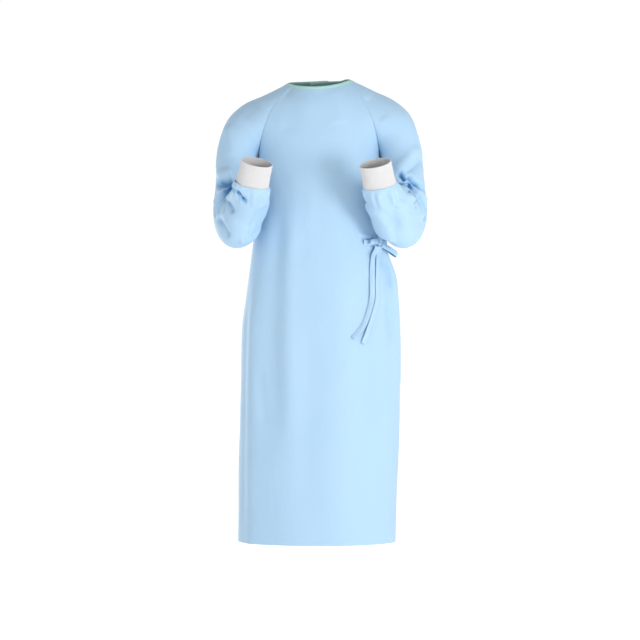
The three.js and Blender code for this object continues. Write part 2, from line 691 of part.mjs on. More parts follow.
// A hanging end of the tie, which lies on the front panel.
function tail(route) {
  const line = new THREE.CatmullRomCurve3(route.map(({ x, z, lift }) => vec(x, lift, z)));
  const places = line.getSpacedPoints(TAIL_STEPS).map(({ x, y, z }) => {
    const angle = THREE.MathUtils.radToDeg(Math.asin(Math.min(x / body.left(z), 1)));
    const point = skirtPoint(angle, z, y);
    return { point, out: skirtPoint(angle, z, y + 1).sub(point).normalize() };
  });
  const stations = places.map(({ point, out }, i) => {
    const run = places[Math.min(i + 1, TAIL_STEPS)].point.clone().sub(places[Math.max(i - 1, 0)].point);
    const across = out.clone().cross(run).normalize();
    return { point, across, out: run.cross(across).normalize() };
  });
  return tape(stations);
}

// The closure tab, which lies on the outer back panel and reaches past its edge.
function neckTab() {
  const rows = shares(TAB_DOWN.from, TAB_DOWN.to, TAB_DOWN.rows);
  const columns = shares(TAB_ACROSS.from, TAB_ACROSS.to, TAB_ACROSS.columns);
  const grid = rows.map((t) => columns.map((share) => yokePoint(share, t, 1)));
  const normals = gridNormals(grid);
  return wallSolid(moved(grid, normals, SEAM_GAP + TIE_WALL), moved(grid, normals, SEAM_GAP));
}

function piece(name, geometry, material) {
  const mesh = new THREE.Mesh(geometry, material);
  mesh.name = name;
  return mesh;
}

const front = frontPanel();
const backInner = innerBackPanel();
const backOuter = outerBackPanel();
const sleeveLeft = sleeve(ARMS.left);
const sleeveRight = sleeve(ARMS.right);

const roundNeck = [backOuter, sleeveRight, front, sleeveLeft, backInner];
roundNeck.slice(1).forEach((panel, i) => joinRaglan(roundNeck[i], panel));

const gown = new THREE.Group();
gown.add(
  piece("front", panelSolid(front), CLOTH),
  piece("back_inner", panelSolid(backInner), CLOTH),
  piece("back_outer", panelSolid(backOuter), CLOTH),
  piece("sleeve_left", panelSolid(sleeveLeft, ringFrom), CLOTH),
  piece("sleeve_right", panelSolid(sleeveRight, ringFrom), CLOTH),
  piece("cuff_left", cuff(ARMS.left), KNIT),
  piece("cuff_right", cuff(ARMS.right), KNIT),
  piece("neck_binding", neckBinding(roundNeck), MINT),
  piece("neck_tab", neckTab(), TAPE),
  piece("tie_back", waistTie(KNOT_ANGLE + TIE_GAP_ANGLE, TIE_ANGLES.back, TIE_STEPS.back), CLOTH),
  piece("tie_front", waistTie(TIE_ANGLES.front, KNOT_ANGLE - TIE_GAP_ANGLE, TIE_STEPS.front), CLOTH),
  piece("knot", knot(), CLOTH),
  piece("loop_back", bowLoop(LOOPS.back), CLOTH),
  piece("loop_front", bowLoop(LOOPS.front), CLOTH),
  piece("tail_inner", tail(TAIL_ROUTES.inner), CLOTH),
  piece("tail_outer", tail(TAIL_ROUTES.outer), CLOTH),
);
export default gown;
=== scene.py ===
"""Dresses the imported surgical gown: thin cloth shells with folds, creases, seams, knit and tape.

Sizes are in millimetres until a mesh is made. +Z is up, the wearer faces -Y, and the wearer's left is +X.
"""
import math

import bpy
import numpy as np
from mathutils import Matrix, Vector


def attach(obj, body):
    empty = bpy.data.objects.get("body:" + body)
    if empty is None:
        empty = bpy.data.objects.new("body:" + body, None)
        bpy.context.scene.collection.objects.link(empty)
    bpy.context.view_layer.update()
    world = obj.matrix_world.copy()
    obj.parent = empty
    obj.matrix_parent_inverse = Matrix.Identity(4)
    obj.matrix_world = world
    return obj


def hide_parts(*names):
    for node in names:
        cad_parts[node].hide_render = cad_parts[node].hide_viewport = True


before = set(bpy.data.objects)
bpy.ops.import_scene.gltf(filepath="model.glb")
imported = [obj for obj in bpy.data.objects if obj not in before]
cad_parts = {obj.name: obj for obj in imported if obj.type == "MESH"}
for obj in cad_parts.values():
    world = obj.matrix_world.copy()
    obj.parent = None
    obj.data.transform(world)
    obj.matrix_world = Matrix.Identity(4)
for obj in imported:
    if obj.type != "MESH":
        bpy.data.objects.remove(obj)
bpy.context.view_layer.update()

MM = 0.001
CAMERA_MM = (2.7, -7000, -643)
RIGHT_ANGLE = 90
HALF_TURN = 180
SHARP_ANGLE = 60

# Cloth
CLOTH_WALL = 0.7
KNIT_WALL = 1.6
TAPE_WALL = 0.8
SEAM_PINCH = 0.32  # depth of the valley along a sewn seam
SEAM_SPREAD = 3.0  # half its width
SEAM_QUIET = 14  # creases die away this far from a seam
LAYER_DROP = 5  # inner back panel under the outer one, where they overlap
UNDERARM_CLEARANCE = 0.6
FOREARM_LEVEL = (-260, -130)  # depths between which an arm comes level again

# Grids
FRONT_COLUMNS = 150
BACK_COLUMNS = {"inner": 84, "outer": 104}
SLEEVE_COLUMNS = 170
YOKE_ROWS = 64
CHEST_ROWS = 60
SKIRT_ROWS = 130
CAP_ROWS = 56
UPPER_ARM_ROWS = 50
ELBOW_ROWS = 100
FOREARM_ROWS = 50
BINDING_SHARE = 0.037

# Raglan sleeve cap: t, apex x y z, seam x z, depth, rise, half arc
CAP = (
    (0.0, 84, 0, 0, 75, 0, 62, 10, 31),
    (0.25, 150, 0, -31, 108, -38, 80, 9, 52),
    (0.5, 209, -2, -60, 136, -90, 86, 6, 75),
    (0.75, 258, -5, -112, 154, -152, 80, 0, 118),
    (1.0, 278, -8, -200, 165, -215, 75, -10, 180),
)
# Chest and shoulder blades: t, front y z half arc, back y z half arc
CHEST = (
    (0.0, -80, -20, 62, 68, 7, 52),
    (0.25, -100, -66, 52, 92, -30, 50),
    (0.5, -111, -112, 56, 107, -85, 56),
    (0.75, -120, -162, 70, 115, -148, 72),
    (1.0, -126, -215, 90, 118, -215, 90),
)
# Body below the underarm: z, reach to the left, right, front and back
BODY = (
    (-215, 165, 165, 126, 118),
    (-300, 169, 168, 133, 120),
    (-380, 177, 173, 137, 121),
    (-437, 183, 178, 139, 123),
    (-524, 208, 189, 145, 138),
    (-590, 215, 197, 148, 146),
    (-670, 219, 206, 151, 151),
    (-860, 218, 211, 155, 156),
    (-1000, 215, 214, 157, 159),
    (-1110, 210, 216, 158, 160),
    (-1240, 207, 217, 159, 161),
)
UNDERARM_Z = BODY[0][0]
HEM_Z = BODY[-1][0]
WAIST_Z = -437
# Tilt of the upper gown: z, degrees
TILT = ((40, 3), (-10, 3), (-60, 1.7), (-160, 1.5), (-460, 0))

# Long folds of the body: angle, spread, depth, top, bottom, lean
FOLDS = (
    (-26, 8, 7, -300, -980, 5),
    (-40, 10, -7, -300, -1040, 5),
    (-60, 9, 5, -480, -1420, 6),
    (-74, 8, -4, -520, -1300, 4),
    (-6, 9, -4, -640, -1240, -3),
    (14, 13, 5, -420, -1460, 2),
    (33, 9, -5, -460, -960, 4),
    (60, 7, -8, -430, -720, 3),
    (73, 7, 7, -430, -900, 3),
    (88, 7, -8, -420, -700, 2),
    (106, 9, 8, -430, -1420, 4),
    (124, 9, -9, -430, -1420, 5),
    (168, 11, 7, -440, -1420, -3),
    (190, 10, -8, -430, -1420, -4),
    (214, 10, 9, -420, -1420, -3),
    (236, 9, -8, -420, -1420, -2),
    (256, 9, 6, -430, -1420, 2),
)
FOLD_FADE = 0.22

# Wrapped back: shares of the half back from the middle, at the neck and at the hem
INNER_EDGE = (-0.3, -0.36)
OUTER_EDGE = (0.3, 0.62)
DROP_SHARES = (0.7, 1.0)

# Arms: the elbow's crease and the middle of the cuff seam, as for a left arm
ARMS = {
    "left": ((201, -122, -281), (158, -258, -291)),
    "right": ((195, -122, -281), (173, -258, -288)),
}


def unit(v):
    v = np.asarray(v, float)
    return v / np.linalg.norm(v, axis=-1, keepdims=True)


UPPER_ARM_AIM = unit((0.03, -0.26, -0.965))
FOREARM_AIM = unit((-0.34, -0.76, 0.55))
CUFF_AIM = unit((-0.2, -0.45, 0.87))
ELBOW_INSIDE = 9
ELBOW_REACH = (148, 177, 136)
ELBOW_HALF_WIDTH = (55, 58, 57)
CRUSH = {"folds": 2.5, "depth": 9, "spread": 62}
CUFF_SEAM_HALF = (46, 32)
PLEATS = {"count": 5, "depth": 3.2, "length": 0.55}
SLEEVE_END = 0.972  # the sleeve's last row, drawn in on to the cuff
# Gathers into the cuff: count round the wrist, height and phase
GATHERS = ((11, 1.3, 1.0), (17, 0.9, 2.3), (7, 0.9, 0.4))
GATHERED = (0.35, 0.8, 0.88, 1.0)  # shares of the forearm where they grow, and where they are drawn in
CURVE_HANDLE = 1 / 3

# Cuff
CUFF_LENGTH = 71
CUFF_TUCK = 9
CUFF_HALF = (42, 29)
CUFF_GRIP = 0.5
CUFF_CLEARANCE = 1.8
RIBS = 76
RIB_COLUMNS = 5
RIB_DEPTH = 0.8
CUFF_ROWS = 40

# Waist tie
TIE_WIDTH = 14
TIE_LIFT = 1
TIE_SOLID = 1.2  # thickness of the solid tie under the knot
SOLID_GAP = 0.3
TIE_ANGLES = (147, 40)
KNOT_ANGLE = 58
KNOT_HALF = (10, 9, 6.5)  # along the tie, up and out
TAIL_INNER = (
    (149, -447.3, 9), (147.5, -457, 7), (141.5, -476, 4), (139.5, -510, 3), (140, -545, 3),
    (140.5, -575, 3), (136.5, -604, 3), (122, -650, 3), (104, -674, 3), (87, -691, 3),
)
TAIL_OUTER = (
    (158, -447.3, 9), (157.8, -457, 7), (155.5, -480, 4), (153, -510, 3), (152.5, -545, 3),
    (153, -575, 3), (149.5, -604, 3), (137, -650, 3), (128.5, -676, 3), (117, -706, 3),
)
# Bow loops: along the tie, up, out, belly
LOOPS = {"loop_back": (38, -21, 21, 8), "loop_front": (-32, 6, 4, 7)}
LOOP_START = 9.8
LOOP_ROOT = 1.5
LOOP_ROUNDNESS = 0.8

# Closure tab: shares across the back, and rows down the raglan seam
TAB_ACROSS = (0.58, 0.08)
TAB_DOWN = (0.065, 0.16)
TAB_ROWS, TAB_COLUMNS = 13, 41
TAB_FACE, TAB_BACK = 1.3, 0.5  # its two faces, over the cloth


# Curves through tables

def curve(table, column):
    """A smooth curve through one column of a table, read against its first column."""
    rows = sorted(table)
    xs = np.array([row[0] for row in rows], float)
    ys = np.array([row[column] for row in rows], float)
    before = np.maximum(np.arange(len(xs)) - 1, 0)
    after = np.minimum(np.arange(len(xs)) + 1, len(xs) - 1)
    slope = (ys[after] - ys[before]) / (xs[after] - xs[before])

    def read(x):
        x = np.asarray(x, float)
        i = np.clip(np.searchsorted(xs, x) - 1, 0, len(xs) - 2)
        span = xs[i + 1] - xs[i]
        s = np.clip((x - xs[i]) / span, 0, 1)
        s2, s3 = s * s, s * s * s
        start = (2 * s3 - 3 * s2 + 1) * ys[i] + (s3 - 2 * s2 + s) * span * slope[i]
        return start + (3 * s2 - 2 * s3) * ys[i + 1] + (s3 - s2) * span * slope[i + 1]

    return read


def smooth(x, low, high):
    s = np.clip((np.asarray(x, float) - low) / (high - low), 0, 1)
    return s * s * (3 - 2 * s)


def mix(a, b, s):
    return a + (b - a) * s


def points(x, y, z):
    return np.stack(np.broadcast_arrays(x, y, z), axis=-1).astype(float)


apex_x, apex_y, apex_z, seam_x, seam_z, cap_depth, cap_rise, cap_arc = (curve(CAP, c) for c in range(1, 9))
front_y, front_z, front_arc, back_y, back_z, back_arc = (curve(CHEST, c) for c in range(1, 7))
reach_left, reach_right, reach_front, reach_back = (curve(BODY, c) for c in range(1, 5))
tilt = curve(TILT, 1)


# The body

def carried(p):
    """The tilt of the shoulders, which the upper gown follows as far as the elbows."""
    share = smooth(p[..., 1], *FOREARM_LEVEL)
    p[..., 2] += p[..., 0] * np.tan(np.radians(tilt(p[..., 2]))) * share
    return p


def fold_height(angle, z):
    height = 0
    for at, spread, depth, top, bottom, lean in FOLDS:
        along = (top - z) / (top - bottom)
        fade = smooth(along, 0, FOLD_FADE) * (1 - smooth(along, 1 - FOLD_FADE, 1))
        off = (angle - at - lean * along + HALF_TURN) % (2 * HALF_TURN) - HALF_TURN
        height = height + depth * fade * np.exp(-((off / spread) ** 2))
    return height


def skirt_point(angle, z, lift=0):
    """A point of the body below the underarm, lifted off the cloth's outer face."""
    angle, z = np.broadcast_arrays(np.asarray(angle, float), np.asarray(z, float))
    turn = np.radians(angle)
    side = np.where(np.sin(turn) > 0, reach_left(z), reach_right(z))
    depth = np.where(np.cos(turn) > 0, reach_front(z), reach_back(z))
    out = unit(points(np.sin(turn) / side, -np.cos(turn) / depth, 0))
    p = points(side * np.sin(turn), -depth * np.cos(turn), z)
    return carried(p + out * (fold_height(angle, z) + lift)[..., None])


def yoke_point(share, t, facing):
    """A point of the yoke: share runs from -1 on the wearer's right to 1 on the left."""
    arc = np.sin(np.radians(cap_arc(t)))
    end_y = facing * cap_depth(t) * arc
    end_z = seam_z(t) + facing * cap_rise(t) * arc
    half = np.radians(front_arc(t) if facing < 0 else back_arc(t))
    fall = (1 - np.cos(share * half)) / (1 - np.cos(half))
    y = mix(front_y(t) if facing < 0 else back_y(t), end_y, fall)
    z = mix(front_z(t) if facing < 0 else back_z(t), end_z, fall)
    return carried(points(seam_x(t) * np.sin(share * half) / np.sin(half), y, z))


YOKE_T = np.concatenate(([0], np.linspace(BINDING_SHARE, 1, YOKE_ROWS)))[:, None]
BODY_Z = np.concatenate((
    np.linspace(UNDERARM_Z, WAIST_Z, CHEST_ROWS + 1)[1:],
    np.linspace(WAIST_Z, HEM_Z, SKIRT_ROWS + 1)[1:],
))[:, None]


def panel_grid(yoke_share, body_share, facing):
    """Outer points of a panel, from shares for its yoke rows and for the rows below the underarm."""
    above = yoke_point(yoke_share, YOKE_T, facing)
    turn = body_share * RIGHT_ANGLE
    below = skirt_point(turn if facing < 0 else HALF_TURN - turn, BODY_Z)
    return relaxed(np.concatenate((above, below)), len(above))


def grid_normals(grid, ring=False):
    """Outward normals of a grid: rows run down and columns run round."""
    down = np.empty_like(grid)
    down[1:-1] = grid[2:] - grid[:-2]
    down[0] = grid[1] - grid[0]
    down[-1] = grid[-1] - grid[-2]
    along = np.empty_like(grid)
    along[:, 1:-1] = grid[:, 2:] - grid[:, :-2]
    if ring:
        along[:, 0] = along[:, -1] = grid[:, 1] - grid[:, -2]
    else:
        along[:, 0] = grid[:, 1] - grid[:, 0]
        along[:, -1] = grid[:, -1] - grid[:, -2]
    return unit(np.cross(down, along))


def row_lengths(grid):
    """Length along each row from its middle, for cloth coordinates."""
    steps = np.linalg.norm(np.diff(grid, axis=1), axis=-1)
    run = np.concatenate((np.zeros((len(grid), 1)), np.cumsum(steps, axis=1)), axis=1)
    return run - run[:, run.shape[1] // 2][:, None]


def column_lengths(grid):
    steps = np.linalg.norm(np.diff(grid, axis=0), axis=-1).mean(axis=1)
    return np.concatenate(([0], np.cumsum(steps)))[:, None] + np.zeros(grid.shape[:2])


# Meshes

def new_mesh(name, verts, faces, face_uvs, material):
    mesh = bpy.data.meshes.new(name)
    mesh.from_pydata((np.asarray(verts) * MM).tolist(), [], np.asarray(faces).tolist())
    layer = mesh.uv_layers.new(name="cloth")
    layer.data.foreach_set("uv", (np.asarray(face_uvs, float) * MM).ravel())
    mesh.polygons.foreach_set("use_smooth", np.ones(len(mesh.polygons), bool))
    mesh.set_sharp_from_angle(angle=math.radians(SHARP_ANGLE))
    mesh.materials.append(material)
    piece = bpy.data.objects.new(name, mesh)
    bpy.context.scene.collection.objects.link(piece)
    return piece


def dress(piece, node):
    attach(piece, "root")
    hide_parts(node)
    return piece


def wall(name, outer, inner, material, first_ring=None):
    """A closed wall between two grids. From the row first_ring on, the last column is the first again."""
    rows, columns = outer.shape[:2]
    index = np.arange(rows * columns).reshape(rows, columns)
    if first_ring is not None:
        index[first_ring:, -1] = index[first_ring:, 0]
    within = index + rows * columns
    uv = np.stack((row_lengths(outer), column_lengths(outer)), axis=-1).reshape(-1, 2)
    flat = np.arange(rows * columns).reshape(rows, columns)
    faces, corners = [], []

    def quads(a, b, c, d, ua, ub, uc, ud):
        faces.append(np.stack((a, b, c, d), axis=-1).reshape(-1, 4))
        corners.append(np.stack((ua, ub, uc, ud), axis=-1).reshape(-1, 4))

    def cell(g):
        return g[:-1, :-1], g[1:, :-1], g[1:, 1:], g[:-1, 1:]

    quads(*cell(index), *cell(flat))
    quads(*cell(within)[::-1], *cell(flat)[::-1])
    top, low = flat[0], flat[-1]
    top_uv = (top[:-1], top[1:], top[1:], top[:-1])
    low_uv = (low[:-1], low[1:], low[1:], low[:-1])
    quads(index[0, :-1], index[0, 1:], within[0, 1:], within[0, :-1], *top_uv)
    quads(within[-1, :-1], within[-1, 1:], index[-1, 1:], index[-1, :-1], *low_uv)
    end = rows - 1 if first_ring is None else first_ring
    a, b = slice(0, end), slice(1, end + 1)
    left, right = flat[:, 0], flat[:, -1]
    quads(index[a, 0], within[a, 0], within[b, 0], index[b, 0], left[a], left[a], left[b], left[b])
    quads(within[a, -1], index[a, -1], index[b, -1], within[b, -1], right[a], right[a], right[b], right[b])
    faces = np.concatenate(faces)
    corners = np.concatenate(corners)
    verts = np.concatenate((outer.reshape(-1, 3), inner.reshape(-1, 3)))
    used, packed = np.unique(faces, return_inverse=True)
    return new_mesh(name, verts[used], packed.reshape(faces.shape), uv[corners].reshape(-1, 2), material)


# Creases

# Ways of looking at the gown, level: the camera's aim for each side
VIEWS = {"front": (0, 1), "back": (0, -1), "left": (-1, 0), "right": (1, 0)}
FACING = (0.05, 0.4)  # how squarely the cloth faces a view before a crease shows on it
CRISP_WIDTH = 12  # narrower creases are sharp along their line
CRISP_POWER = 1.4
LINE_FADE = 0.2  # share of a crease's length over which it dies away


def near_line(p, line):
    """Signed distance from points to a line of points in a plane, and the share along it."""
    line = np.asarray(line, float)
    best = np.full(p.shape[:-1], np.inf)
    side = np.zeros(p.shape[:-1])
    along = np.zeros(p.shape[:-1])
    lengths = np.linalg.norm(np.diff(line, axis=0), axis=1)
    starts = np.concatenate(([0], np.cumsum(lengths)))
    for a, b, start, length in zip(line[:-1], line[1:], starts, lengths):
        way = (b - a) / length
        run = np.clip((p - a) @ way, 0, length)
        off = p - a - run[..., None] * way
        gap = np.linalg.norm(off, axis=-1)
        closer = gap < best
        best = np.where(closer, gap, best)
        side = np.where(closer, way[0] * off[..., 1] - way[1] * off[..., 0], side)
        along = np.where(closer, (start + run) / starts[-1], along)
    return np.where(side < 0, -best, best), along


def seen(grid, view):
    """Places of points in the picture plane of a view. The front one is as far off as the camera."""
    aim_x, aim_y = VIEWS[view]
    across = grid[..., 0] * aim_y - grid[..., 1] * aim_x
    if view != "front":
        return np.stack((across, grid[..., 2]), axis=-1)
    shrink = CAMERA_MM[1] / (CAMERA_MM[1] - grid[..., 1])
    x = CAMERA_MM[0] + (across - CAMERA_MM[0]) * shrink
    z = CAMERA_MM[2] + (grid[..., 2] - CAMERA_MM[2]) * shrink
    return np.stack((x, z), axis=-1)


def crease_height(grid, normals, creases):
    """Sum of listed creases: view, half width, depth (a ridge if positive), lean, line."""
    height = np.zeros(grid.shape[:-1])
    for view, width, depth, lean, line in creases:
        off, along = near_line(seen(grid, view), line)
        q = off / width
        aim_x, aim_y = VIEWS[view]
        facing = smooth(-(normals[..., 0] * aim_x + normals[..., 1] * aim_y), *FACING)
        fade = smooth(along, 0, LINE_FADE) * (1 - smooth(along, 1 - LINE_FADE, 1))
        bump = np.exp(-np.abs(q) ** (CRISP_POWER if width < CRISP_WIDTH else 2))
        height += depth * facing * fade * bump * (1 + lean * q)
    return height


LATTICE = 64


def noise(u, v, cell, seed):
    """Smooth noise between -1 and 1 over cloth coordinates."""
    lattice = np.random.RandomState(seed).uniform(-1, 1, (LATTICE, LATTICE))
    a, b = u / cell, v / cell
    i, j = np.floor(a).astype(int), np.floor(b).astype(int)
    s, t = a - i, b - j
    s, t = s * s * (3 - 2 * s), t * t * (3 - 2 * t)

    def corner(di, dj):
        return lattice[(i + di) % LATTICE, (j + dj) % LATTICE]

    low = mix(corner(0, 0), corner(1, 0), s)
    high = mix(corner(0, 1), corner(1, 1), s)
    return mix(low, high, t)


# Rounding off a bend between two rows
RELAX_ROWS = 13
RELAX_PASSES = 160
RELAX_EDGE = (6, 40)  # distance from the edges over which it sets in
# Slow unevenness of the cloth: cell size and height
UNEVEN = ((70, 0.9), (34, 0.45), (15, 0.16))
GRAIN = 0.6  # it runs longer down the cloth than across
# Seeds of the unevenness of each piece
SEEDS = {
    "front": 11, "back_outer": 23, "back_inner": 37, "sleeve_left": 51, "sleeve_right": 67,
    "tie_back": 3, "tie_front": 4, "loop": 5, "tail_inner": 8, "tail_outer": 9,
}


def unevenness(grid, seed):
    u, v = row_lengths(grid), column_lengths(grid)
    return sum(height * noise(u, v * GRAIN, cell, seed + n) for n, (cell, height) in enumerate(UNEVEN))


def from_edges(grid):
    """Distance from each point to the nearer end of its row."""
    steps = np.linalg.norm(np.diff(grid, axis=1), axis=-1)
    run = np.concatenate((np.zeros((len(grid), 1)), np.cumsum(steps, axis=1)), axis=1)
    return np.minimum(run, run[:, -1:] - run)


def relaxed(grid, row):
    """The grid with the bend at one row rounded off, except along its edges."""
    rows = np.arange(len(grid))[:, None]
    share = np.exp(-(((rows - row) / RELAX_ROWS) ** 2)) * smooth(from_edges(grid), *RELAX_EDGE) / 2
    for _ in range(RELAX_PASSES):
        level = (grid[:-2] + grid[2:]) / 2
        grid[1:-1] += share[1:-1, :, None] * (level - grid[1:-1])
    return grid


def shaped(grid, normals, creases, seed):
    """The grid with its creases, unevenness and the valleys along its seams."""
    edge = from_edges(grid)
    quiet = smooth(edge, 0, SEAM_QUIET)
    height = (crease_height(grid, normals, creases) + unevenness(grid, seed)) * quiet
    pinch = SEAM_PINCH * np.exp(-((edge / SEAM_SPREAD) ** 2))
    return grid + normals * (height - pinch)[..., None]


# Materials

def node_tree(name):
    material = bpy.data.materials.new(name)
    material.use_nodes = True
    return material, material.node_tree.nodes, material.node_tree.links


def cloth_vector(nodes, links, scale=(1, 1, 1), turn=0):
    """Cloth coordinates in metres, scaled and turned."""
    uv = nodes.new("ShaderNodeUVMap")
    uv.uv_map = "cloth"
    mapping = nodes.new("ShaderNodeMapping")
    mapping.inputs["Scale"].default_value = scale
    mapping.inputs["Rotation"].default_value = (0, 0, math.radians(turn))
    links.new(uv.outputs["UV"], mapping.inputs["Vector"])
    return mapping.outputs["Vector"]


def noise_node(nodes, links, stretch, scale, detail):
    vector = cloth_vector(nodes, links, stretch)
    node = nodes.new("ShaderNodeTexNoise")
    node.inputs["Scale"].default_value = scale
    node.inputs["Detail"].default_value = detail
    links.new(vector, node.inputs["Vector"])
    return node.outputs["Fac"]


WAVE_PERIOD = 0.31416  # length of one wave at scale 1


def wave_node(nodes, links, vector, pitch, direction):
    node = nodes.new("ShaderNodeTexWave")
    node.bands_direction = direction
    node.inputs["Scale"].default_value = WAVE_PERIOD / pitch
    links.new(vector, node.inputs["Vector"])
    return node.outputs["Fac"]


def math_node(nodes, links, operation, a, b):
    node = nodes.new("ShaderNodeMath")
    node.operation = operation
    for socket, value in zip(node.inputs, (a, b)):
        if isinstance(value, (int, float)):
            socket.default_value = value
        else:
            links.new(value, socket)
    return node.outputs["Value"]


def bump_node(nodes, links, height, strength, distance, under=None):
    node = nodes.new("ShaderNodeBump")
    node.inputs["Strength"].default_value = strength
    node.inputs["Distance"].default_value = distance
    links.new(height, node.inputs["Height"])
    if under is not None:
        links.new(under, node.inputs["Normal"])
    return node.outputs["Normal"]


def blend_colour(nodes, links, factor, a, b):
    node = nodes.new("ShaderNodeMix")
    node.data_type = "RGBA"
    links.new(factor, node.inputs["Factor"])
    for name, value in (("A", a), ("B", b)):
        socket = next(s for s in node.inputs if s.name == name and s.type == "RGBA")
        if isinstance(value, tuple):
            socket.default_value = (*value, 1)
        else:
            links.new(value, socket)
    return next(s for s in node.outputs if s.type == "RGBA")


SHEEN_ROUGHNESS = 0.45
SPECULAR = 0.3


def finish_cloth(shader, roughness, sheen):
    shader.inputs["Roughness"].default_value = roughness
    shader.inputs["Sheen Weight"].default_value = sheen
    shader.inputs["Sheen Roughness"].default_value = SHEEN_ROUGHNESS
    shader.inputs["Specular IOR Level"].default_value = SPECULAR


# Nonwoven cloth. Noises: stretch, scale, detail. Reliefs: strength, and height in metres
BOND_PITCH = 0.0021
BOND_TURN = 45
BOND_SHARPNESS = 2
BOND_SHARE = 0.5
FIBRES = ((5, 1, 1), 420, 4)
CRUMPLE = ((1.6, 1, 1), 38, 5)
MOTTLE = ((1, 1, 1), 9, 6)
FIBRE_SHARE, MOTTLE_SHARE = 0.35, 0.65
CRUMPLE_RELIEF = (0.35, 0.0022)
FIBRE_RELIEF, FIBRE_HEIGHT = (0.3, 0.00025), 0.5
NONWOVEN_FINISH = (0.7, 0.12)  # roughness and sheen, here and below
# Rib knit
STITCH_PITCH = 0.0016
YARN = ((3, 1, 1), 700, 3)
STITCH_SHARE = 0.5
KNIT_RELIEF = (0.5, 0.0005)
KNIT_FINISH = (0.9, 0.3)
# Woven tape
WEAVE_PITCH = 0.0009
WEAVE_RELIEF = (0.4, 0.0002)
WOVEN_FINISH = (0.75, 0.1)
PAINTED_SHADE_REACH = 0.03  # how near the cloth's own faces lie round a point before painted shade darkens its colour
# strength of the painted shade in the cloth's folds
PAINTED_SHADE_SHARE = 1.5


def painted_fold_shade(nodes, links):
    """How deep in a fold of its own piece a point lies, as a share of painted shade: the colour there is
    darkened to stand in for the shade in the fold.
    """
    node = nodes.new("ShaderNodeAmbientOcclusion")
    node.only_local = True
    node.inputs["Distance"].default_value = PAINTED_SHADE_REACH
    shaded_share = math_node(nodes, links, "SUBTRACT", 1, node.outputs["AO"])
    return math_node(nodes, links, "MULTIPLY", shaded_share, PAINTED_SHADE_SHARE)


def nonwoven(name, pale, deep, bond, painted_shade_colour):
    """Bonded nonwoven cloth: a lattice of bond points, lengthwise fibres, slow mottling, painted shade in
    its own folds, a faint sheen.
    """
    material, nodes, links = node_tree(name)
    shader = nodes["Principled BSDF"]
    lattice = cloth_vector(nodes, links, turn=BOND_TURN)
    across = wave_node(nodes, links, lattice, BOND_PITCH, "X")
    along = wave_node(nodes, links, lattice, BOND_PITCH, "Y")
    dots = math_node(nodes, links, "MULTIPLY", across, along)
    dots = math_node(nodes, links, "POWER", dots, BOND_SHARPNESS)
    fibres = noise_node(nodes, links, *FIBRES)
    crumple = noise_node(nodes, links, *CRUMPLE)
    mottle = noise_node(nodes, links, *MOTTLE)
    uneven = math_node(nodes, links, "MULTIPLY_ADD", fibres, FIBRE_SHARE)
    links.new(math_node(nodes, links, "MULTIPLY", mottle, MOTTLE_SHARE), uneven.node.inputs[2])
    colour = blend_colour(nodes, links, uneven, deep, pale)
    colour = blend_colour(nodes, links, math_node(nodes, links, "MULTIPLY", dots, BOND_SHARE), colour, bond)
    # painted shade: the colour deepens toward a dark blue where the cloth lies in its own folds
    colour = blend_colour(nodes, links, painted_fold_shade(nodes, links), colour, painted_shade_colour)
    links.new(colour, shader.inputs["Base Color"])
    soft = bump_node(nodes, links, crumple, *CRUMPLE_RELIEF)
    raised = math_node(nodes, links, "MULTIPLY", fibres, FIBRE_HEIGHT)
    relief = math_node(nodes, links, "SUBTRACT", raised, dots)
    links.new(bump_node(nodes, links, relief, *FIBRE_RELIEF, soft), shader.inputs["Normal"])
    finish_cloth(shader, *NONWOVEN_FINISH)
    return material


def knitted(name, pale, deep):
    """Rib knit: rows of small stitches on the ribs that the mesh has."""
    material, nodes, links = node_tree(name)
    shader = nodes["Principled BSDF"]
    stitches = wave_node(nodes, links, cloth_vector(nodes, links), STITCH_PITCH, "Y")
    yarn = noise_node(nodes, links, *YARN)
    factor = math_node(nodes, links, "MULTIPLY_ADD", stitches, STITCH_SHARE)
    links.new(math_node(nodes, links, "MULTIPLY", yarn, 1 - STITCH_SHARE), factor.node.inputs[2])
    links.new(blend_colour(nodes, links, factor, deep, pale), shader.inputs["Base Color"])
    links.new(bump_node(nodes, links, factor, *KNIT_RELIEF), shader.inputs["Normal"])
    finish_cloth(shader, *KNIT_FINISH)
    return material


def woven(name, pale, deep):
    """Fine plain-weave tape."""
    material, nodes, links = node_tree(name)
    shader = nodes["Principled BSDF"]
    weft = wave_node(nodes, links, cloth_vector(nodes, links), WEAVE_PITCH, "X")
    warp = wave_node(nodes, links, cloth_vector(nodes, links), WEAVE_PITCH, "Y")
    weave = math_node(nodes, links, "MULTIPLY", weft, warp)
    links.new(blend_colour(nodes, links, weave, deep, pale), shader.inputs["Base Color"])
    links.new(bump_node(nodes, links, weave, *WEAVE_RELIEF), shader.inputs["Normal"])
    finish_cloth(shader, *WOVEN_FINISH)
    return material


# The last colour of cloth and of tape is painted shade, blended in where the piece lies in its own folds.
CLOTH = nonwoven("cloth", (0.42, 0.60, 0.775), (0.375, 0.57, 0.755), (0.35, 0.545, 0.74), (0.11, 0.31, 0.56))
KNIT = knitted("knit", (0.70, 0.69, 0.69), (0.56, 0.555, 0.56))
MINT = woven("binding", (0.44, 0.70, 0.63), (0.38, 0.64, 0.58))
TAPE = nonwoven("tape", (0.70, 0.72, 0.74), (0.64, 0.67, 0.69), (0.60, 0.63, 0.66), (0.5, 0.53, 0.56))


# Pieces

def cloth_piece(name, grid, material, normals=None, thick=CLOTH_WALL, first_ring=None):
    normals = grid_normals(grid) if normals is None else normals
    return wall(name, grid, grid - normals * thick, material, first_ring)


def down_back(height):
    top = back_z(0)
    return np.clip((top - height) / (top - HEM_Z), 0, 1)


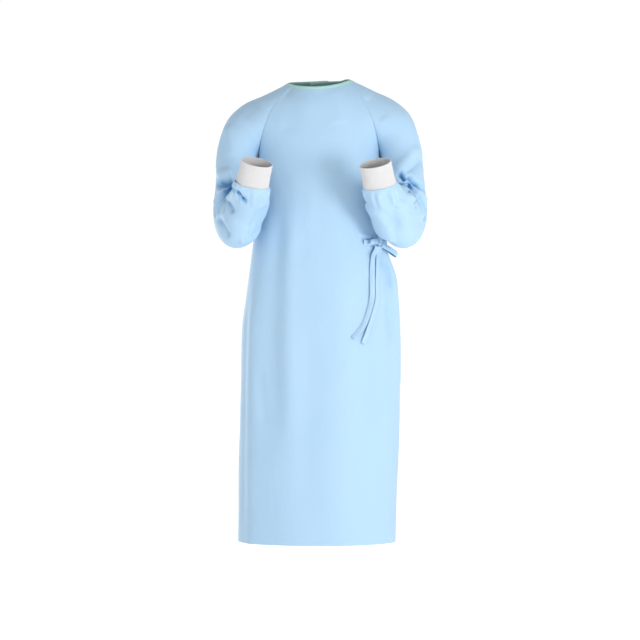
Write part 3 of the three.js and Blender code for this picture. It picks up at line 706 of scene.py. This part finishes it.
def back_shares(edge, other, columns, spread):
    """Shares across a back panel in each row, from one edge to the other."""
    s = np.linspace(0, 1, columns + 1)[None, :]
    rows = []
    for height in (back_z(YOKE_T), BODY_Z):
        free = mix(*edge, spread(down_back(height)))
        rows.append(mix(other, free, s))
    return rows


FRONT_CREASES = (
    ("front", 30, -4.0, 0.4, ((-88, 6), (-82, -40), (-80, -90), (-88, -150))),
    ("front", 26, 3.0, 0.0, ((40, -12), (52, -60), (58, -120))),
    ("front", 20, -2.0, 0.0, ((4, -215), (6, -300), (2, -440))),
    ("front", 7, -4.0, 0.2, ((112, -424), (132, -429), (158, -438))),
    ("front", 6, -4.0, -0.2, ((158, -440), (144, -456), (132, -474))),
    ("front", 10, 3.0, 0.0, ((96, -408), (122, -414), (152, -424))),
    ("front", 15, -3.0, 0.3, ((-168, -760), (-157, -850), (-146, -940))),
    ("front", 6, -4.5, 0.2, ((176, -478), (186, -515), (192, -560))),
    ("front", 12, 3.0, 0.0, ((164, -480), (174, -530), (178, -600))),
)
front_share = np.linspace(-1, 1, FRONT_COLUMNS + 1)[None, :]
front_grid = panel_grid(front_share, front_share, -1)
front_grid = shaped(front_grid, grid_normals(front_grid), FRONT_CREASES, SEEDS["front"])
front = dress(cloth_piece("front_panel", front_grid, CLOTH), "front")

BACK_CREASES = (
    ("back", 18, -6.0, 0.2, ((-78, -50), (-52, -130), (-40, -240))),
    ("back", 20, -6.0, -0.2, ((84, -60), (60, -140), (46, -250))),
    ("back", 26, 5.0, 0.0, ((14, -150), (4, -280), (10, -420))),
    ("back", 9, -6.0, 0.2, ((-160, -436), (-110, -432), (-50, -444))),
    ("back", 12, 5.0, 0.0, ((-150, -414), (-90, -410), (-20, -424))),
    ("back", 9, -4.5, 0.2, ((-150, -450), (-104, -470), (-66, -500))),
    ("back", 16, -5.0, 0.0, ((-70, -470), (-62, -600), (-74, -760))),
    ("back", 18, 5.0, 0.0, ((40, -500), (52, -680), (46, -860))),
    ("back", 15, -5.0, 0.2, ((110, -620), (120, -800), (114, -960))),
    ("back", 18, -4.0, 0.0, ((-20, -850), (-28, -980), (-22, -1120))),
    ("back", 9, -4.0, 0.3, ((150, -160), (120, -190), (84, -206))),
    ("back", 9, -4.0, 0.3, ((-150, -158), (-118, -192), (-90, -204))),
)
outer_shares = [s[:, ::-1] for s in back_shares(OUTER_EDGE, -1, BACK_COLUMNS["outer"], np.sqrt)]
outer_grid = panel_grid(*outer_shares, 1)
outer_grid = shaped(outer_grid, grid_normals(outer_grid), BACK_CREASES, SEEDS["back_outer"])
back_outer = dress(cloth_piece("back_panel_outer", outer_grid, CLOTH), "back_outer")

inner_shares = back_shares(INNER_EDGE, 1, BACK_COLUMNS["inner"], np.asarray)
inner_grid = panel_grid(*inner_shares, 1)
drop = LAYER_DROP * (1 - smooth(np.concatenate(inner_shares), *DROP_SHARES))
inner_grid -= grid_normals(inner_grid) * drop[..., None]
inner_grid = shaped(inner_grid, grid_normals(inner_grid), BACK_CREASES, SEEDS["back_inner"])
back_inner = dress(cloth_piece("back_panel_inner", inner_grid, CLOTH), "back_inner")


# Sleeves

ELBOW_AXIS = unit(np.cross(FOREARM_AIM, UPPER_ARM_AIM))
ELBOW_BACK = np.cross(ELBOW_AXIS, UPPER_ARM_AIM)
ELBOW_TURN = math.acos(float(UPPER_ARM_AIM @ FOREARM_AIM))


def through_bend(sizes, s):
    upper, middle, fore = sizes
    return upper * (1 - s) * (1 - 2 * s) + 4 * middle * s * (1 - s) + fore * s * (2 * s - 1)


def cap_sections(t):
    arc = cap_arc(t)
    seam = points(seam_x(t) + UNDERARM_CLEARANCE * t, 0, seam_z(t))
    apex = points(apex_x(t), apex_y(t), apex_z(t))
    side = (apex - seam) / (1 - np.cos(np.radians(arc)))[:, None]
    return apex - side, side, points(0, cap_depth(t), cap_rise(t)), arc


def elbow_sections(crease, s):
    turn = (s * ELBOW_TURN)[:, None]
    aim = ELBOW_BACK * np.cos(turn) + UPPER_ARM_AIM * np.sin(turn)
    reach = through_bend(ELBOW_REACH, s)[:, None]
    middle = crease + aim * (reach + ELBOW_INSIDE) / 2
    side = ELBOW_AXIS * through_bend(ELBOW_HALF_WIDTH, s)[:, None]
    return middle, side, aim * (reach - ELBOW_INSIDE) / 2, np.full(len(s), HALF_TURN)


CUFF_SIDE = unit(np.array((1, 0, 0)) - CUFF_AIM * CUFF_AIM[0])
CUFF_BACK = np.cross(CUFF_SIDE, CUFF_AIM)


def cuff_sections(seam, along, width, depth):
    along, width, depth = (np.atleast_1d(np.asarray(v, float))[:, None] for v in (along, width, depth))
    middle = seam + CUFF_AIM * along
    return middle, CUFF_SIDE * width, CUFF_BACK * depth, np.full(len(middle), HALF_TURN)


def between(a, b, leave, arrive, s):
    """Sections from a to b, whose middles follow a curve that leaves and arrives along two aims."""
    (m0, side0, back0), (m3, side3, back3) = ((sec[0][0], sec[1][0], sec[2][0]) for sec in (a, b))
    reach = np.linalg.norm(m3 - m0) * CURVE_HANDLE
    m1, m2 = m0 + leave * reach, m3 - arrive * reach
    s = s[:, None]
    r = 1 - s
    middle = m0 * r**3 + 3 * m1 * r * r * s + 3 * m2 * r * s * s + m3 * s**3
    return middle, mix(side0, side3, s), mix(back0, back3, s), np.full(len(s), HALF_TURN)


def arm_grid(side_name):
    crease, seam = (np.array(v, float) for v in ARMS[side_name])
    start, finish = np.array((0.0,)), np.array((1.0,))
    steps = {
        "upper": np.linspace(0, 1, UPPER_ARM_ROWS + 1)[1:],
        "elbow": np.linspace(0, 1, ELBOW_ROWS + 1)[1:],
        "fore": np.linspace(0, 1, FOREARM_ROWS + 1)[1:],
    }
    cap_t = np.concatenate(([0], np.linspace(BINDING_SHARE, 1, CAP_ROWS)))
    underarm = cap_sections(finish)
    bend = (elbow_sections(crease, start), elbow_sections(crease, finish))
    end = cuff_sections(seam, 0, *CUFF_SEAM_HALF)
    parts = (
        cap_sections(cap_t),
        between(underarm, bend[0], UPPER_ARM_AIM, UPPER_ARM_AIM, steps["upper"]),
        elbow_sections(crease, steps["elbow"]),
        between(bend[1], end, FOREARM_AIM, CUFF_AIM, steps["fore"]),
    )
    middle, side, back, arc = (np.concatenate(column) for column in zip(*parts))
    counts = [len(part[0]) for part in parts]
    crush = np.zeros(len(middle))
    crushed = np.sin(np.pi * CRUSH["folds"] * steps["elbow"]) ** 2
    crush[counts[0] + counts[1]:-counts[3]] = CRUSH["depth"] * crushed
    pleat = np.zeros(len(middle))
    drawn_in = smooth(steps["fore"], *GATHERED[2:])
    pleat[-counts[3]:] = PLEATS["depth"] * smooth(steps["fore"], 1 - PLEATS["length"], 1) * (1 - drawn_in)
    gathered = np.zeros(len(middle))
    gathered[-counts[3]:] = smooth(steps["fore"], *GATHERED[:2]) * (1 - drawn_in)
    narrowing = np.ones(len(middle))
    narrowing[-counts[3]:] = mix(1, SLEEVE_END, drawn_in)
    angle = arc[:, None] * np.linspace(-1, 1, SLEEVE_COLUMNS + 1)[None, :]
    turn = np.radians(angle)
    p = side[:, None] * np.cos(turn)[..., None] + back[:, None] * np.sin(turn)[..., None]
    radial = unit(p)
    in_bend = np.exp(-(((angle + RIGHT_ANGLE) / CRUSH["spread"]) ** 2))
    gather = pleat[:, None] * np.sin(turn * PLEATS["count"] / 2) ** 2 - crush[:, None] * in_bend
    waves = sum(high * np.cos(turn * count + phase) for count, high, phase in GATHERS)
    gather = gather + gathered[:, None] * waves
    grid = p * narrowing[:, None, None] + radial * gather[..., None] + middle[:, None]
    rings = counts[0] - 1
    grid = relaxed(grid, rings)
    normals = grid_normals(grid)
    normals[rings:] = grid_normals(grid, ring=True)[rings:]
    if side_name == "right":
        grid = grid[:, ::-1] * (-1, 1, 1)
        normals = normals[:, ::-1] * (-1, 1, 1)
    return carried(grid.copy()), normals, rings


SLEEVE_CREASES = {
    "left": (
        ("front", 6, -12.0, 3.2, (
            (244, -290), (251, -309), (260, -316), (272, -330), (281, -351), (286, -378),
        )),
        ("front", 6, -18.0, 0.3, ((213, -245), (224, -256), (234, -268))),
        ("front", 5.5, -14.0, 0.4, ((236, -252), (252, -268), (276, -290))),
        ("front", 6, -15.0, -0.4, ((243, -268), (247, -284), (248, -302))),
        ("front", 8, 6.0, 0.0, ((256, -280), (264, -294), (270, -312))),
        ("front", 15, 6.5, 0.0, ((268, -170), (240, -206), (204, -242))),
        ("front", 9, -5.0, 0.2, ((282, -205), (255, -230), (230, -247))),
        ("front", 16, -5.0, 0.0, ((182, -300), (200, -350), (218, -410))),
        ("front", 24, 6.0, 0.0, ((214, -316), (232, -362), (240, -410))),
        ("front", 5, -4.5, 0.3, ((225, -310), (212, -328), (204, -347))),
        ("front", 20, -4.0, 0.0, ((126, -36), (150, -66), (180, -104))),
        ("right", 40, 11.0, 0.0, ((222, -332), (196, -362), (168, -394), (130, -424))),
        ("left", 6, -6.0, 0.2, ((-116, -281), (-80, -292), (-42, -301))),
        ("left", 7, 4.0, 0.0, ((-104, -296), (-78, -308), (-50, -326))),
        ("left", 6, -6.0, 0.2, ((-116, -289), (-88, -318), (-60, -354))),
        ("left", 7, -5.0, 0.2, ((-124, -293), (-120, -335), (-110, -384))),
        ("left", 6, -5.0, 0.2, ((-133, -288), (-160, -322), (-178, -356))),
        ("left", 12, 3.0, 0.0, ((-40, -120), (-30, -190), (-50, -260))),
        ("back", 7, -4.0, 0.2, ((-264, -298), (-240, -316), (-212, -322))),
        ("back", 8, -4.0, 0.2, ((-270, -345), (-240, -353), (-210, -345))),
        ("back", 10, -3.0, 0.0, ((-258, -255), (-240, -210), (-236, -165))),
    ),
    "right": (
        ("front", 6, -12.0, -3.2, (
            (-229, -256), (-236, -286), (-252, -310), (-267, -327), (-277, -346), (-281, -374),
        )),
        ("front", 9, -24.0, 0.3, ((-292, -277), (-260, -277), (-232, -267))),
        ("front", 6, 6.0, 0.0, ((-284, -290), (-270, -294), (-254, -292))),
        ("front", 12, 6.0, 0.0, ((-280, -250), (-256, -246), (-232, -240))),
        ("front", 6.5, -15.0, 0.4, ((-240, -283), (-221, -302), (-197, -330))),
        ("front", 7, 6.0, 0.0, ((-228, -280), (-210, -298), (-190, -318))),
        ("front", 4, -5.0, 0.3, ((-213, -288), (-204, -304), (-195, -316))),
        ("front", 6, -9.0, 0.3, ((-254, -315), (-242, -335), (-232, -358))),
        ("front", 7, -12.0, -0.4, ((-276, -362), (-255, -400), (-240, -424))),
        ("front", 6, -6.0, 0.2, ((-220, -443), (-198, -444), (-172, -436))),
        ("front", 7, 4.5, 0.0, ((-216, -432), (-194, -432), (-174, -424))),
        ("front", 16, 6.0, 0.0, ((-250, -112), (-240, -155), (-232, -204))),
        ("front", 20, -4.0, 0.2, ((-164, -48), (-184, -70), (-206, -98))),
        ("left", 40, -13.0, 0.0, ((-222, -332), (-196, -362), (-168, -394), (-130, -424))),
        ("right", 6, -6.0, 0.2, ((114, -283), (82, -288), (46, -305))),
        ("right", 7, 4.0, 0.0, ((102, -300), (76, -312), (52, -334))),
        ("right", 6, -6.0, 0.2, ((117, -291), (92, -322), (70, -362))),
        ("right", 7, -5.0, 0.2, ((126, -291), (128, -332), (122, -372))),
        ("right", 6, -5.0, 0.2, ((135, -288), (156, -328), (170, -366))),
        ("right", 12, 3.0, 0.0, ((38, -130), (30, -185), (44, -250))),
        ("back", 7, -4.0, 0.2, ((262, -304), (238, -312), (214, -326))),
        ("back", 8, -4.0, 0.2, ((268, -350), (242, -358), (208, -352))),
        ("back", 10, -3.0, 0.0, ((256, -245), (244, -205), (238, -150))),
    ),
}

sleeve_grids = {}
for side_name in ARMS:
    grid, normals, rings = arm_grid(side_name)
    name = "sleeve_" + side_name
    grid = shaped(grid, normals, SLEEVE_CREASES[side_name], SEEDS[name])
    sleeve_grids[side_name] = grid
    piece = cloth_piece("raglan_" + name, grid, CLOTH, normals, first_ring=rings)
    dress(piece, name)


def cuff_grid(side_name):
    seam = np.array(ARMS[side_name][1], float)
    s = np.linspace(0, 1, CUFF_ROWS + 1)
    grip = smooth(s, 0, CUFF_GRIP)
    width, depth = (mix(a - CUFF_CLEARANCE, b, grip) for a, b in zip(CUFF_SEAM_HALF, CUFF_HALF))
    middle, side, back, _ = cuff_sections(seam, mix(-CUFF_TUCK, CUFF_LENGTH - CUFF_TUCK, s), width, depth)
    turn = np.linspace(-np.pi, np.pi, RIBS * RIB_COLUMNS + 1)[None, :, None]
    p = side[:, None] * np.cos(turn) + back[:, None] * np.sin(turn)
    out = unit(p)
    rib = RIB_DEPTH * (np.cos(turn * RIBS) - 1) / 2
    outer = p + out * rib + middle[:, None]
    inner = outer - out * KNIT_WALL
    if side_name == "right":
        outer, inner = (g[:, ::-1] * (-1, 1, 1) for g in (outer, inner))
    return carried(outer.copy()), carried(inner.copy())


for side_name in ARMS:
    outer, inner = cuff_grid(side_name)
    name = "cuff_" + side_name
    dress(wall("knit_" + name, outer, inner, KNIT, 0), name)


# Neck binding, folded over the neck edge: offset from the cloth and height, from the leg and from the edge
BINDING_LEG = ((0.25, 0), (0.75, 0), (1.05, 0.8))
BINDING_TOP = ((1.1, -2), (0.9, 0.6), (0.3, 1.3), (-0.35, 1.5), (-1.0, 1.3), (-1.6, 0.6), (-1.8, -2))
BINDING_INSIDE = ((-1.75, 0.8), (-1.45, 0), (-0.95, 0))
BINDING_FOLD = ((-0.95, 0.3), (0.25, 0.3))
BINDING_EASE = 12  # passes that even out its lean from piece to piece


def swept(name, sections, material, ends):
    """A mesh swept through closed sections, shape (sections, points, 3)."""
    count, size = sections.shape[:2]
    index = np.arange(count * size).reshape(count, size)
    after = np.roll(index, -1, axis=1)
    sides = np.stack((index[:-1], after[:-1], after[1:], index[1:]), axis=-1).reshape(-1, 4)
    closing = [[index[-1][i] for i in end] for end in ends]
    closing += [[index[0][i] for i in reversed(end)] for end in ends]
    faces = np.concatenate((sides, np.array(closing)))
    run = np.cumsum(np.linalg.norm(np.diff(sections.mean(axis=1), axis=0), axis=-1))
    run = np.concatenate(([0], run))[:, None] + np.zeros((count, size))
    round_it = np.linalg.norm(np.diff(sections[0], axis=0), axis=-1)
    round_it = np.concatenate(([0], np.cumsum(round_it)))[None, :] + np.zeros((count, size))
    uv = np.stack((round_it, run), axis=-1).reshape(-1, 2)
    return new_mesh(name, sections.reshape(-1, 3), faces, uv[faces].reshape(-1, 2), material)


def neck_binding():
    ring = [outer_grid, sleeve_grids["right"], front_grid, sleeve_grids["left"], inner_grid]
    edge = np.concatenate([g[0] for g in ring])[::-1]
    leg = np.concatenate([g[1] for g in ring])[::-1]
    out = np.concatenate([grid_normals(g)[0] for g in ring])[::-1]
    for _ in range(BINDING_EASE):
        out[1:-1] = unit(out[:-2] + out[1:-1] + out[2:])
    up = unit(edge - leg)

    def at(base, offset, height):
        return base + out * offset + up * height

    loop = [at(leg, *p) for p in BINDING_LEG] + [at(edge, *p) for p in BINDING_TOP]
    loop += [at(leg, *p) for p in BINDING_INSIDE] + [at(edge, *p) for p in BINDING_FOLD]
    last = len(loop) - 1
    fold = last - 1
    ends = ((0, 1, 2, last), (last, 2, 3, 4), (last, 4, 5, 6), (last, 6, 7, fold))
    ends += ((fold, 7, 8, 9), (fold, 9, 10, 12))
    return swept("neck_bound_edge", np.stack(loop, axis=1), MINT, ends)


TAPE_COLUMNS = 8
TAPE_WAVE = 0.55
TAPE_WAVE_LENGTH = 13
TAPE_CROWN = 1.1  # its middle stands this far over its edges


def tape(name, at, across, out, material, seed, wide=TIE_WIDTH):
    """A flat tape along a line of points, with a slightly uneven lie."""
    u = np.linspace(-0.5, 0.5, TAPE_COLUMNS + 1)[None, :, None] * wide
    grid = at[:, None] + across[:, None] * u
    crown = TAPE_CROWN * (1 - (2 * u[..., 0] / wide) ** 2)
    lift = TAPE_WAVE * noise(row_lengths(grid), column_lengths(grid), TAPE_WAVE_LENGTH, seed) + crown
    grid = grid + out[:, None] * (lift + TAPE_WALL / 2)[..., None]
    return wall(name, grid, grid - out[:, None] * TAPE_WALL, material)


def along_line(at, width):
    run = unit(np.gradient(at, axis=0))
    return at, np.broadcast_to(width, at.shape), unit(np.cross(run, width))


TIE_STEPS = 60


def waist_tie(name, start, end, seed):
    angle = np.linspace(start, end, TIE_STEPS + 1)
    at = skirt_point(angle, WAIST_Z, TIE_LIFT + TAPE_WALL / 2)
    out = unit(skirt_point(angle, WAIST_Z, 2) - skirt_point(angle, WAIST_Z))
    run = unit(np.gradient(at, axis=0))
    return tape(name, at, unit(np.cross(out, run)), out, CLOTH, seed)


KNOT_OUT = unit(skirt_point(KNOT_ANGLE, WAIST_Z, 1) - skirt_point(KNOT_ANGLE, WAIST_Z))
KNOT_ALONG = np.array((-KNOT_OUT[1], KNOT_OUT[0], 0))
UP = np.array((0, 0, 1.0))
KNOT_MIDDLE = skirt_point(KNOT_ANGLE, WAIST_Z, TIE_LIFT + TIE_SOLID + SOLID_GAP + KNOT_HALF[2])
KNOT_PEAK = 1.1  # the turn of tape that stands up out of its top
KNOT_PEAK_RISE = (0.2, 1)
KNOT_PEAK_MIDDLE, KNOT_PEAK_WIDTH = -0.1, 0.4
KNOT_POLE = 0.02
KNOT_BAND_WIDTH = 0.34
KNOT_CORE, KNOT_BAND_RISE = 0.88, 0.12
KNOT_GATHERS, KNOT_GATHER_DEPTH = 9, 0.07
KNOT_RUMPLE, KNOT_RUMPLE_WAYS = 0.03, (7, 2)
KNOT_SHELL = 0.1
KNOT_RINGS = 40
KNOT_SPOKES = 64


def knot():
    """The knot: a band wrapped round the gathered turns of the tie."""
    polar = np.linspace(KNOT_POLE, np.pi - KNOT_POLE, KNOT_RINGS)[:, None]
    turn = np.linspace(0, 2 * np.pi, KNOT_SPOKES + 1)[None, :]
    x = np.sin(polar) * np.cos(turn)
    y = np.cos(polar) + 0 * turn
    z = np.sin(polar) * np.sin(turn)
    band = np.exp(-((x / KNOT_BAND_WIDTH) ** 4))
    gathers = KNOT_GATHER_DEPTH * np.cos(KNOT_GATHERS * np.arctan2(z, y)) * (1 - band)
    gathers += KNOT_RUMPLE * np.sin(KNOT_RUMPLE_WAYS[0] * x + KNOT_RUMPLE_WAYS[1] * y)
    peak = np.exp(-((x - KNOT_PEAK_MIDDLE) / KNOT_PEAK_WIDTH) ** 2)
    size = KNOT_CORE + KNOT_BAND_RISE * band + gathers
    size = size * (1 + KNOT_PEAK * smooth(y, *KNOT_PEAK_RISE) * peak)
    grid = KNOT_ALONG * (x * size * KNOT_HALF[0])[..., None] + UP * (y * size * KNOT_HALF[1])[..., None]
    grid = grid + KNOT_OUT * (z * size * KNOT_HALF[2])[..., None] + KNOT_MIDDLE
    return wall("waist_knot", grid, mix(grid, KNOT_MIDDLE, KNOT_SHELL), CLOTH, 0)


LOOP_STEPS = 48
LOOP_SAG = 7  # the loops' ends hang this far down


def bow_loop(name, along, up, out, belly):
    end = KNOT_ALONG * along + UP * up
    reach = np.linalg.norm(end)
    aim = end / reach
    width = unit(np.cross(aim, KNOT_OUT))
    turn = np.linspace(0, np.pi, LOOP_STEPS + 1)[:, None]
    far = np.sin(turn) ** LOOP_ROUNDNESS * reach
    wide = -np.cos(turn) * (LOOP_ROOT + belly * np.sin(turn)) + out * np.sin(turn)
    at = KNOT_MIDDLE + aim * (LOOP_START + far) + KNOT_OUT * wide
    at = at - UP * LOOP_SAG * (far / reach) ** 2
    return tape(name, *along_line(at, width), CLOTH, SEEDS["loop"])


TAIL_STEPS = 120
TAIL_ROLL = 16  # most it turns over to one side, in degrees
TAIL_ROLL_LENGTH = 40
TAIL_LOOSE = (15, 60)  # where it comes free of the knot
TAIL_RAISE = 2.5
TAIL_LEANS = {"inner": 24, "outer": -14}  # degrees that each is turned to one side


def tail(name, route, lean, seed):
    """A hanging end of the tie, turned to one side and rolling a little on the way down."""
    route = np.array(route, float)
    steps = np.linalg.norm(np.diff(route[:, :2], axis=0), axis=1)
    run = np.concatenate(([0], np.cumsum(steps)))
    s = np.linspace(0, run[-1], TAIL_STEPS + 1)
    x, z, lift = (curve(list(zip(run, column)), 1)(s) for column in route.T)
    angle = np.degrees(np.arcsin(np.minimum(x / reach_left(z), 1)))
    loose = smooth(s, *TAIL_LOOSE)
    at = skirt_point(angle, z, lift + TAIL_RAISE * loose)
    out = unit(skirt_point(angle, z, lift + TAIL_RAISE * loose + 1) - at)
    way = unit(np.gradient(at, axis=0))
    across = unit(np.cross(out, way))
    level = unit(np.cross(way, across))
    roll = np.radians(lean + TAIL_ROLL * noise(s, 0 * s, TAIL_ROLL_LENGTH, seed))
    roll = (roll * loose)[:, None]
    rolled = across * np.cos(roll) + level * np.sin(roll)
    out = level * np.cos(roll) - across * np.sin(roll)
    return tape(name, at, rolled, out, CLOTH, seed)


def neck_tab():
    t = np.linspace(*TAB_DOWN, TAB_ROWS)[:, None]
    share = np.linspace(*TAB_ACROSS, TAB_COLUMNS)[None, :]
    grid = yoke_point(share, t, 1)
    normals = grid_normals(grid)
    return wall("closure_tab", grid + normals * TAB_FACE, grid + normals * TAB_BACK, TAPE)


binding = dress(neck_binding(), "neck_binding")
tab = dress(neck_tab(), "neck_tab")
tie_back = waist_tie("waist_tie_back", KNOT_ANGLE, TIE_ANGLES[0], SEEDS["tie_back"])
dress(tie_back, "tie_back")
tie_front = waist_tie("waist_tie_front", TIE_ANGLES[1], KNOT_ANGLE, SEEDS["tie_front"])
dress(tie_front, "tie_front")
bow_knot = dress(knot(), "knot")
loops = [dress(bow_loop("bow_" + node, *sizes), node) for node, sizes in LOOPS.items()]
tail_inner = tail("hanging_tail_inner", TAIL_INNER, TAIL_LEANS["inner"], SEEDS["tail_inner"])
dress(tail_inner, "tail_inner")
tail_outer = tail("hanging_tail_outer", TAIL_OUTER, TAIL_LEANS["outer"], SEEDS["tail_outer"])
dress(tail_outer, "tail_outer")


# Camera, light and floor

CAMERA_LENS = 145.8
FLOOR_Z = -1.47

camera_data = bpy.data.cameras.new("camera")
camera_data.lens = CAMERA_LENS
camera = bpy.data.objects.new("camera", camera_data)
camera.location = [c * MM for c in CAMERA_MM]
camera.rotation_euler = (math.radians(RIGHT_ANGLE), 0, 0)
bpy.context.scene.collection.objects.link(camera)
bpy.context.scene.camera = camera


def area_light(name, at, target, size, power):
    data = bpy.data.lights.new(name, "AREA")
    data.shape = "DISK"
    data.size = size
    data.energy = power
    lamp = bpy.data.objects.new(name, data)
    lamp.location = at
    lamp.rotation_mode = "QUATERNION"
    lamp.rotation_quaternion = (Vector(target) - Vector(at)).to_track_quat("-Z", "Y")
    bpy.context.scene.collection.objects.link(lamp)


# Lights: name, place, size in metres, power in watts
LIGHTS = (
    ("behind", (-2.4, 4.1, -0.3), 1.2, 40),
    ("key", (2.92, -3.74, -0.75), 1.5, 86),
)
LIT_POINT = (0, 0, -0.6)
for name, at, size, power in LIGHTS:
    area_light(name, at, LIT_POINT, size, power)

world = bpy.data.worlds.new("studio")
bpy.context.scene.world = world
world.use_nodes = True
HORIZON_LIGHT, ZENITH_LIGHT = 1.04, 0.55  # the studio is brightest at eye level
SKY_FALL = (0.08, 0.8)  # heights of a ray between which the light falls off
world_nodes, world_links = world.node_tree.nodes, world.node_tree.links
ray = world_nodes.new("ShaderNodeTexCoord")
height = world_nodes.new("ShaderNodeSeparateXYZ")
fall = world_nodes.new("ShaderNodeMapRange")
fall.inputs["From Min"].default_value = SKY_FALL[0]
fall.inputs["From Max"].default_value = SKY_FALL[1]
fall.inputs["To Min"].default_value = HORIZON_LIGHT
fall.inputs["To Max"].default_value = ZENITH_LIGHT
world_links.new(ray.outputs["Generated"], height.inputs["Vector"])
world_links.new(height.outputs["Z"], fall.inputs["Value"])
world_links.new(fall.outputs["Result"], world_nodes["Background"].inputs["Strength"])
world_nodes["Background"].inputs["Color"].default_value = (1, 1, 1, 1)
bpy.context.scene.view_settings.view_transform = "Standard"

floor_mesh = bpy.data.meshes.new("floor")
FLOOR_HALF = 30
FLOOR_COLOUR = (0.98, 0.98, 0.98, 1)
FLOOR_ROUGHNESS = 0.9
FLOOR_GLOW = 0.4
WHITE = (1, 1, 1, 1)
floor_mesh.from_pydata(
    [(x, y, FLOOR_Z) for x, y in ((-1, -1), (1, -1), (1, 1), (-1, 1))], [], [(0, 1, 2, 3)]
)
floor_material, floor_nodes, _ = node_tree("floor")
floor_inputs = floor_nodes["Principled BSDF"].inputs
floor_inputs["Base Color"].default_value = FLOOR_COLOUR
floor_inputs["Roughness"].default_value = FLOOR_ROUGHNESS
floor_inputs["Emission Color"].default_value = WHITE
floor_inputs["Emission Strength"].default_value = FLOOR_GLOW
floor_mesh.materials.append(floor_material)
floor = bpy.data.objects.new("floor", floor_mesh)
floor.scale = (FLOOR_HALF, FLOOR_HALF, 1)
bpy.context.scene.collection.objects.link(floor)
